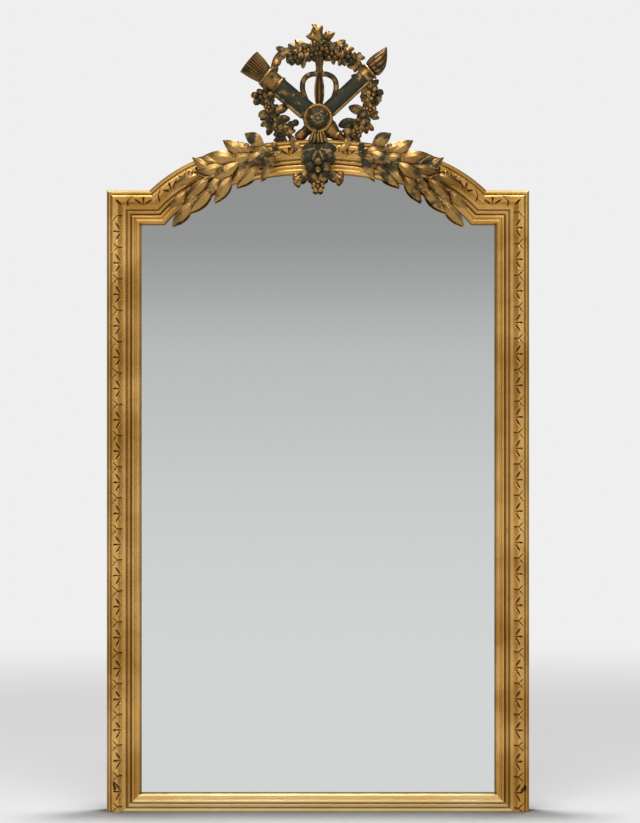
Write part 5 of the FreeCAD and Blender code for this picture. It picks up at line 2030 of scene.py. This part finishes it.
@dataclass
class Finial:
    """Broad lobed leaves that stand on top of the wreath."""

    finishes: CrestFinishes
    centre: Vector
    leaf_rise: float = 0.0065
    leaf_step: float = 0.0015
    leaf_pitch: float = 2.0
    leaf_roll: float = 5.0
    leaves: tuple[FinialLeaf, ...] = (
        FinialLeaf(-0.029, 0.114, 131.0, 0.036, 0.021),
        FinialLeaf(0.029, 0.117, 31.0, 0.041, 0.021),
    )
    calyx_radius: float = 0.010
    calyx_sides: int = 20
    calyx_place: Point = (0.006, 0.126)
    calyx_rows: Points = ((-0.012, 0.5), (-0.008, 1.0), (0.008, 1.0), (0.013, 0.7), (0.016, 0.2))
    edge_thickness: float = 0.004
    cut_seat: float = 0.004
    cut_step: float = 0.001
    cut_leaves: tuple[CutLeaf, ...] = (
        CutLeaf(0.001, 0.138, 180.0, (
            (-0.006, 0.0), (-0.003, -0.011), (0.005, -0.016), (0.0095, -0.0215), (0.0175, -0.0245),
            (0.0215, -0.0145), (0.0350, -0.0085), (0.0255, -0.0005), (0.0185, 0.0035), (0.0095, 0.0075),
            (-0.001, 0.0085),
        )),
        CutLeaf(0.0069, 0.138, 0.0, (
            (-0.004, -0.002), (0.003, -0.0075), (0.0225, -0.0065), (0.0305, 0.0065), (0.0385, 0.0180),
            (0.0235, 0.0190), (0.0125, 0.0250), (0.0070, 0.0165), (0.0, 0.0115),
        )),
        CutLeaf(0.001, 0.1297, 90.0, (
            (-0.010, -0.002), (0.0, -0.012), (0.0145, -0.0145), (0.026, -0.0115), (0.033, -0.0135),
            (0.044, -0.0135), (0.0435, -0.002), (0.045, 0.005), (0.0505, 0.0145), (0.0475, 0.0195),
            (0.037, 0.0135), (0.032, 0.021), (0.0215, 0.0135), (0.0115, 0.0125), (0.0, 0.0105),
        )),
    )

    def build(self) -> None:
        """Make the leaves and the calyx that they spring from, and dress them."""
        pieces = []
        for index, leaf in enumerate(self.leaves):
            size = (leaf.length, leaf.breadth, self.leaf_rise)
            piece = LeafPattern(*size, breadth_shares=LOBED_LEAF_SHARES, smoothing=2).build()
            place = self.centre + Vector((leaf.across, -self.leaf_step * index, leaf.up))
            roll = self.leaf_roll * math.sin(index)
            piece.data.transform(facing_front(place, leaf.heading, 1.0, self.leaf_pitch, roll))
            pieces.append(piece)
        for index, leaf in enumerate(self.cut_leaves):
            piece = cut_leaf(leaf.outline, 2 * self.leaf_rise, self.edge_thickness)
            depth = -self.cut_seat - self.cut_step * index
            place = self.centre + Vector((leaf.across, depth, leaf.up))
            piece.data.transform(facing_front(place, leaf.heading))
            pieces.append(piece)
        stations = [(reach, share * self.calyx_radius) for reach, share in self.calyx_rows]
        calyx = turned(stations, self.calyx_sides)
        across, up = self.calyx_place
        calyx.data.transform(facing_front(self.centre + Vector((across, 0.0, up)), 0.0))
        carve(joined([*pieces, calyx]), "finial_leaves", self.finishes.gold)


@dataclass(frozen=True)
class Sprig:
    """A small leaf beside the pendant: root across and up from the crown, size share and heading."""

    across: float
    up: float
    size: float
    heading: float


@dataclass
class Pendant:
    """Leaves and flowers that hang from the crest in front of the glass."""

    lines: FrameLines
    front: float
    finishes: CrestFinishes
    root_drop: float = 0.018
    leaf_length: float = 0.052
    leaf_breadth: float = 0.033
    leaf_rise: float = 0.006
    leaf_seat: float = 0.003
    boss_lift: float = 0.002
    leaves: Points = ((188.0, 0.75), (-8.0, 0.85), (270.0, 1.0), (222.0, 1.0), (-42.0, 1.0))
    flower_radius: float = 0.032
    flower_drop: float = 0.071
    flower_seat: float = 0.007
    flower_lift: float = 0.003
    berry_radius: float = 0.0078
    berry_lift: float = 0.012
    blossom_headings: Shares = (203.0, -18.0)
    blossom_fan: Shares = (-32.0, 32.0, 0.0)
    blossom_reach: float = 0.040
    calyx_reach: float = 0.012
    calyx_size: float = 1.7
    calyx_overlap: float = 0.006
    calyx_stalk_share: float = 1.5
    petal_length: float = 0.022
    petal_breadth: float = 0.0145
    petal_step: float = 0.0015
    petal_breadth_shares: Shares = (0.3, 0.36, 0.46, 0.6, 0.8, 1.0, 1.0, 0.66)
    petal_arch_shares: Shares = (0.0, 0.04, 0.08, 0.1, 0.1, 0.06, -0.02, -0.14)
    bell_radius: float = 0.0165
    bell_drop: float = 0.107
    stem_radius: float = 0.0045
    sprig_breadth: float = 0.024
    sprig_step: float = 0.002
    sprigs: tuple[Sprig, ...] = (
        Sprig(-0.050, -0.027, 0.72, 104.0), Sprig(-0.036, -0.020, 0.5, 150.0),
        Sprig(0.064, -0.024, 0.62, 82.0), Sprig(0.045, -0.030, 0.6, 40.0),
    )
    sprig_berry_radius: float = 0.0055
    sprig_berry_seat: float = 0.001
    sprig_berries: Points = ((-0.058, -0.022), (-0.086, -0.026), (0.072, -0.030), (0.056, -0.026))

    def hung(self, fall: float, seat: float) -> Vector:
        """Point on the middle line, by its fall from the crown and its seat on the moulding."""
        return Vector((0.0, self.front - seat, self.lines.crown_top - fall))

    def sprays(self) -> list[Piece]:
        """Small leaves and berries on the arch on both sides of the pendant."""
        size = (self.leaf_length, self.sprig_breadth, self.leaf_rise)
        leaf = LeafPattern(*size, breadth_shares=ROUND_LEAF_SHARES).build()
        berry = BerryPattern(self.sprig_berry_radius).build()
        pieces = []
        for index, sprig in enumerate(self.sprigs):
            depth = self.front - self.sprig_step * index
            place = Vector((sprig.across, depth, self.lines.crown_top + sprig.up))
            pieces.append(copied(leaf, facing_front(place, sprig.heading, sprig.size)))
        for across, up in self.sprig_berries:
            place = Vector((across, self.front - self.sprig_berry_seat, self.lines.crown_top + up))
            pieces.append(copied(berry, facing_front(place, 0.0)))
        drop(leaf)
        drop(berry)
        return pieces

    def petal(self) -> Piece:
        """Petal that widens towards its end and curls over."""
        shares = {"breadth_shares": self.petal_breadth_shares, "arch_shares": self.petal_arch_shares}
        return LeafPattern(self.petal_length, self.petal_breadth, self.leaf_rise, **shares).build()

    def blossoms(self, middle: Vector) -> list[Piece]:
        """Blossoms seen from the side, which open outwards from the flower."""
        petal = self.petal()
        pieces = []
        for heading in self.blossom_headings:
            root = polar(middle, self.blossom_reach, heading)
            for index, fan in enumerate(self.blossom_fan):
                place = forward(root, self.petal_step * index)
                pieces.append(copied(petal, facing_front(place, heading + fan)))
        drop(petal)
        return pieces

    def calyxes(self, middle: Vector) -> list[Piece]:
        """Long dark cups that the blossoms open from."""
        petal = self.petal()
        pieces = []
        for heading in self.blossom_headings:
            end = polar(middle, self.blossom_reach + self.calyx_overlap, heading)
            pieces.append(stalk(middle, end, self.calyx_stalk_share * self.stem_radius))
            place = polar(middle, self.calyx_reach, heading)
            pieces.append(copied(petal, facing_front(place, heading, self.calyx_size)))
        drop(petal)
        return pieces

    def build(self) -> None:
        """Make the leaves and the flowers and dress them."""
        size = (self.leaf_length, self.leaf_breadth, self.leaf_rise)
        leaf = LeafPattern(*size, breadth_shares=LOBED_LEAF_SHARES, smoothing=2).build()
        root = self.hung(self.root_drop, self.leaf_seat)
        leaves = [copied(leaf, facing_front(root, heading, share)) for heading, share in self.leaves]
        drop(leaf)
        boss = BerryPattern(self.berry_radius).build()
        boss.data.transform(facing_front(forward(root, self.boss_lift), 0.0))
        leaves = joined([*leaves, boss])
        carve(leaves, "pendant_leaves", self.finishes.black, Slot.CREST_PATINA)
        middle = self.hung(self.flower_drop, self.flower_seat)
        bell = self.hung(self.bell_drop, self.flower_seat)
        flowers = []
        for radius, place in ((self.flower_radius, middle), (self.bell_radius, bell)):
            flower = FlowerPattern(radius).build()
            flower.data.transform(facing_front(forward(place, self.flower_lift), 90.0))
            flowers.append(flower)
        pieces = [stalk(root, bell, self.stem_radius), flowers[0], *self.calyxes(middle)]
        carve(joined(pieces), "pendant_flowers", self.finishes.dark, Slot.CREST_PATINA)
        berry = BerryPattern(self.berry_radius).build()
        berry.data.transform(facing_front(forward(middle, self.berry_lift), 0.0))
        pieces = [*self.blossoms(middle), *self.sprays(), berry, flowers[1]]
        settle(joined(pieces), "pendant_blossoms", self.finishes.gold, Slot.CREST_PATINA)


# Plate, back and hardware

@dataclass
class PlateAndBack:
    """Solids that keep their shape and only get their finish."""

    upright_wood: tuple[str, ...] = ("right_stile", "left_stile")
    level_wood: tuple[str, ...] = (
        "bottom_rail", "right_shoulder_rail", "left_shoulder_rail", "arch_rail", "chassis_pegs",
        "arch_dowels", "glass_setting_blocks", "lower_batten", "middle_batten", "upper_batten",
    )
    boards: tuple[str, ...] = ("left_backboard", "centre_backboard", "right_backboard")
    iron: tuple[str, ...] = (
        "right_hanger_plate", "left_hanger_plate", "right_hanging_ring", "left_hanging_ring",
        "crest_strap",
    )
    screws: tuple[str, ...] = (
        "batten_end_screws", "backboard_screws", "hanger_screws", "crest_strap_screws",
    )

    def dress(self, nodes: Sequence[str], material: Material) -> None:
        """Give solids a finish.

        Args:
            nodes: Names of the solids.
            material: Their finish.
        """
        for node in nodes:
            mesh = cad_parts[node].data
            mesh.materials.clear()
            mesh.materials.append(material)
            log.info("%s is dressed as %s", node, material.name)

    def build(self) -> None:
        """Dress the plate, the chassis, the back and the hardware."""
        grey = {"pale": (0.27, 0.185, 0.105, 1.0), "dark": (0.15, 0.092, 0.045, 1.0)}
        self.dress(self.upright_wood, Wood("softwood_upright", Grain.UPRIGHT).material())
        self.dress(self.level_wood, Wood("softwood_level", Grain.ACROSS).material())
        self.dress(self.boards, Wood("backboard_wood", Grain.UPRIGHT, **grey).material())
        self.dress(self.iron, Iron("forged_iron").material())
        steel = Iron("screw_steel", metal=(0.30, 0.28, 0.26, 1.0), roughness=0.38)
        self.dress(self.screws, steel.material())
        self.dress(("mirror_glass",), Silvered("mirror_plate").material())
        self.dress(("mirror_silvering",), BackPaint("silvering_paint").material())


# Studio

@dataclass(frozen=True)
class Lamp:
    """A square soft light: its name, place, length of side and power."""

    name: str
    place: tuple[float, float, float]
    size: float
    power: float


@dataclass
class Studio:
    """Pale floor, soft lights and the camera of the photograph."""

    image_height: int = 823
    pixel: float = 0.00228
    middle: Point = (320.0, 411.5)
    origin_pixel: Point = (318.0, 810.5)
    distance: float = 6.0
    sensor: float = 36.0
    floor_half_width: float = 10.0
    floor_colour: Colour = (0.84, 0.84, 0.84, 1.0)
    # Painted contact shadow: the floor's colour darkens towards this close to the mirror.
    contact_shadow_colour: Colour = (0.20, 0.20, 0.20, 1.0)
    contact_shadow_reach: float = 0.17
    contact_shadow_limits: Point = (1.0, 0.5)
    floor_roughness: float = 0.9
    floor_specular: float = 0.1
    pale: Colour = (0.863, 0.863, 0.863, 1.0)
    mirrored_near: Colour = (0.80, 0.80, 0.80, 1.0)
    mirrored_far: Colour = (0.765, 0.765, 0.765, 1.0)
    mirrored_fade: Point = (3.0, 10.0)
    near_floor: float = 1.2
    far_floor: float = 4.5
    side_dimming: Shares = (0.3, 0.95, 1.0, 0.45)
    lamps: tuple[Lamp, ...] = (
        Lamp("key_light", (-1.7, -3.0, 3.3), 1.8, 26.0),
        Lamp("fill_light", (2.4, -2.8, 2.2), 2.2, 15.0),
        Lamp("front_light", (0.0, -1.8, 3.8), 1.4, 34.0),
        Lamp("top_light", (0.0, 0.35, 5.5), 0.5, 160.0),
    )
    lamp_aim: tuple[float, float, float] = (0.0, 0.0, 1.0)
    sky_blue: float = 1.01
    sky_low: float = -0.1
    sky_high: float = 0.9
    sky: Points = (
        (-0.1, 0.77), (-0.056, 0.76), (-0.03, 0.72), (0.0, 0.65), (0.02, 0.61), (0.035, 0.54),
        (0.05, 0.44), (0.065, 0.37), (0.08, 0.345), (0.22, 0.34), (0.5, 0.28), (0.9, 0.2),
    )

    def floor(self) -> None:
        """Floor that keeps the mirror's shadow near it and is plain pale far off."""
        floor = added(bpy.ops.mesh.primitive_plane_add, size=2 * self.floor_half_width)
        floor.name = "studio_floor"
        recipe = Recipe("studio_floor")
        path = recipe.node("ShaderNodeLightPath").outputs
        length = recipe.node("ShaderNodeVectorMath", {0: recipe.place}, operation="LENGTH")
        distance = length.outputs["Value"]
        far = recipe.step(distance, self.near_floor, self.far_floor)
        seen_far = recipe.maths("MULTIPLY", far, path["Is Camera Ray"])
        plain = recipe.maths("MAXIMUM", seen_far, path["Is Glossy Ray"])
        fade = recipe.step(distance, *self.mirrored_fade)
        reflected = recipe.blend(fade, self.mirrored_near, self.mirrored_far)
        glow = recipe.blend(path["Is Glossy Ray"], self.pale, reflected)
        emission = recipe.node("ShaderNodeEmission", {"Color": glow})
        # Painted contact shadow: the floor darkens where the mirror stands close by.
        painted_contact_shadow = recipe.step(recipe.hollow(self.contact_shadow_reach), *self.contact_shadow_limits)
        colour = recipe.blend(painted_contact_shadow, self.floor_colour, self.contact_shadow_colour)
        recipe.set(Base_Color=colour, Roughness=self.floor_roughness)
        recipe.set(Specular_IOR_Level=self.floor_specular)
        shaders = {1: recipe.shader.outputs[0], 2: emission.outputs[0]}
        mix = recipe.node("ShaderNodeMixShader", {0: plain, **shaders})
        output = recipe.tree.nodes["Material Output"]
        recipe.tree.links.new(mix.outputs[0], output.inputs["Surface"])
        floor.data.materials.append(recipe.material)

    def world(self) -> None:
        """World that is pale for the camera and graded by height for light and reflections."""
        world = bpy.data.worlds.new("studio")
        bpy.context.scene.world = world
        world.use_nodes = True
        bench = NodeBench(world.node_tree)
        direction = bench.node("ShaderNodeTexCoord").outputs["Generated"]
        across, _, up = bench.node("ShaderNodeSeparateXYZ", {0: direction}).outputs
        limits = {"Value": up, "From Min": self.sky_low, "From Max": self.sky_high}
        height = bench.node("ShaderNodeMapRange", limits).outputs[0]
        ramp = bench.node("ShaderNodeValToRGB", {0: height})
        stops = ramp.color_ramp.elements
        while len(stops) < len(self.sky):
            stops.new(0.5)
        for stop, (sine, level) in zip(stops, self.sky):
            stop.position = (sine - self.sky_low) / (self.sky_high - self.sky_low)
            stop.color = (level, level, self.sky_blue * level, 1.0)
        dimmed = bench.step(bench.maths("ABSOLUTE", across), *self.side_dimming)
        inputs = {0: ramp.outputs[0], "Scale": dimmed}
        shaded = bench.node("ShaderNodeVectorMath", inputs, operation="SCALE").outputs[0]
        seen = bench.node("ShaderNodeLightPath").outputs["Is Camera Ray"]
        background = world.node_tree.nodes["Background"]
        bench.feed(background.inputs["Color"], bench.blend(seen, shaded, self.pale))

    def lamp(self, plan: Lamp) -> None:
        """Set up a soft light that points at the mirror."""
        place = Vector(plan.place)
        lamp = added(bpy.ops.object.light_add, type="AREA", location=place)
        lamp.name = plan.name
        lamp.data.size = plan.size
        lamp.data.energy = plan.power
        lamp.rotation_euler = (Vector(self.lamp_aim) - place).to_track_quat("-Z", "Y").to_euler()

    def camera(self) -> None:
        """Camera straight in front, framed as the photograph is."""
        across = (self.middle[0] - self.origin_pixel[0]) * self.pixel
        up = (self.origin_pixel[1] - self.middle[1]) * self.pixel
        place = (across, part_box("right_stile")[0].y - self.distance, up)
        level = (math.pi / 2, 0.0, 0.0)
        camera = added(bpy.ops.object.camera_add, location=place, rotation=level)
        camera.data.sensor_width = self.sensor
        camera.data.lens = self.sensor * self.distance / (self.image_height * self.pixel)
        bpy.context.scene.camera = camera

    def build(self) -> None:
        """Set up the floor, the world, the lights and the camera."""
        bpy.context.scene.view_settings.view_transform = "Standard"
        self.floor()
        self.world()
        for plan in self.lamps:
            self.lamp(plan)
        self.camera()


def main() -> None:
    """Build and dress the mirror, then the studio round it."""
    logging.basicConfig(level=logging.INFO, format="%(name)s: %(message)s")
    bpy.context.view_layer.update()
    lines = FrameLines.from_frame()
    crest = CrestLines.from_frame()
    carved_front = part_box("right_carved_moulding")[0].y
    frame_gilt = Gilding("frame_gilding").material()
    left_gilt = replace(BRANCH_GILDING, name="left_branch_gilding", patina_limit=0.56).material()
    right_gilt = replace(BRANCH_GILDING, name="right_branch_gilding", patina_limit=0.51).material()
    finishes = CrestFinishes(
        gold=replace(CREST_GILDING, name="crest_gold", patina_limit=0.60).material(),
        brown=replace(CREST_GILDING, name="crest_brown", patina_limit=0.56, **BROWNED).material(),
        dark=replace(CREST_GILDING, name="crest_dark", patina_limit=0.48, **BROWNED).material(),
        black=CREST_BLACK.material(),
    )
    Mouldings(lines).build(frame_gilt, PAINTED_LIGHT_FOOT_GILDING.material())
    LaurelBranches(lines, carved_front).build(left_gilt, right_gilt)
    Quiver(crest, finishes).build()
    Torch(crest, finishes).build()
    Patera(crest, finishes).build()
    wreath = Wreath(crest, finishes)
    wreath.build()
    RibbonKnot(crest, finishes, wreath.top).build()
    Finial(finishes, wreath.centre).build()
    Pendant(lines, carved_front, finishes).build()
    PlateAndBack().build()
    Studio().build()


if __name__ == "__main__":
    main()
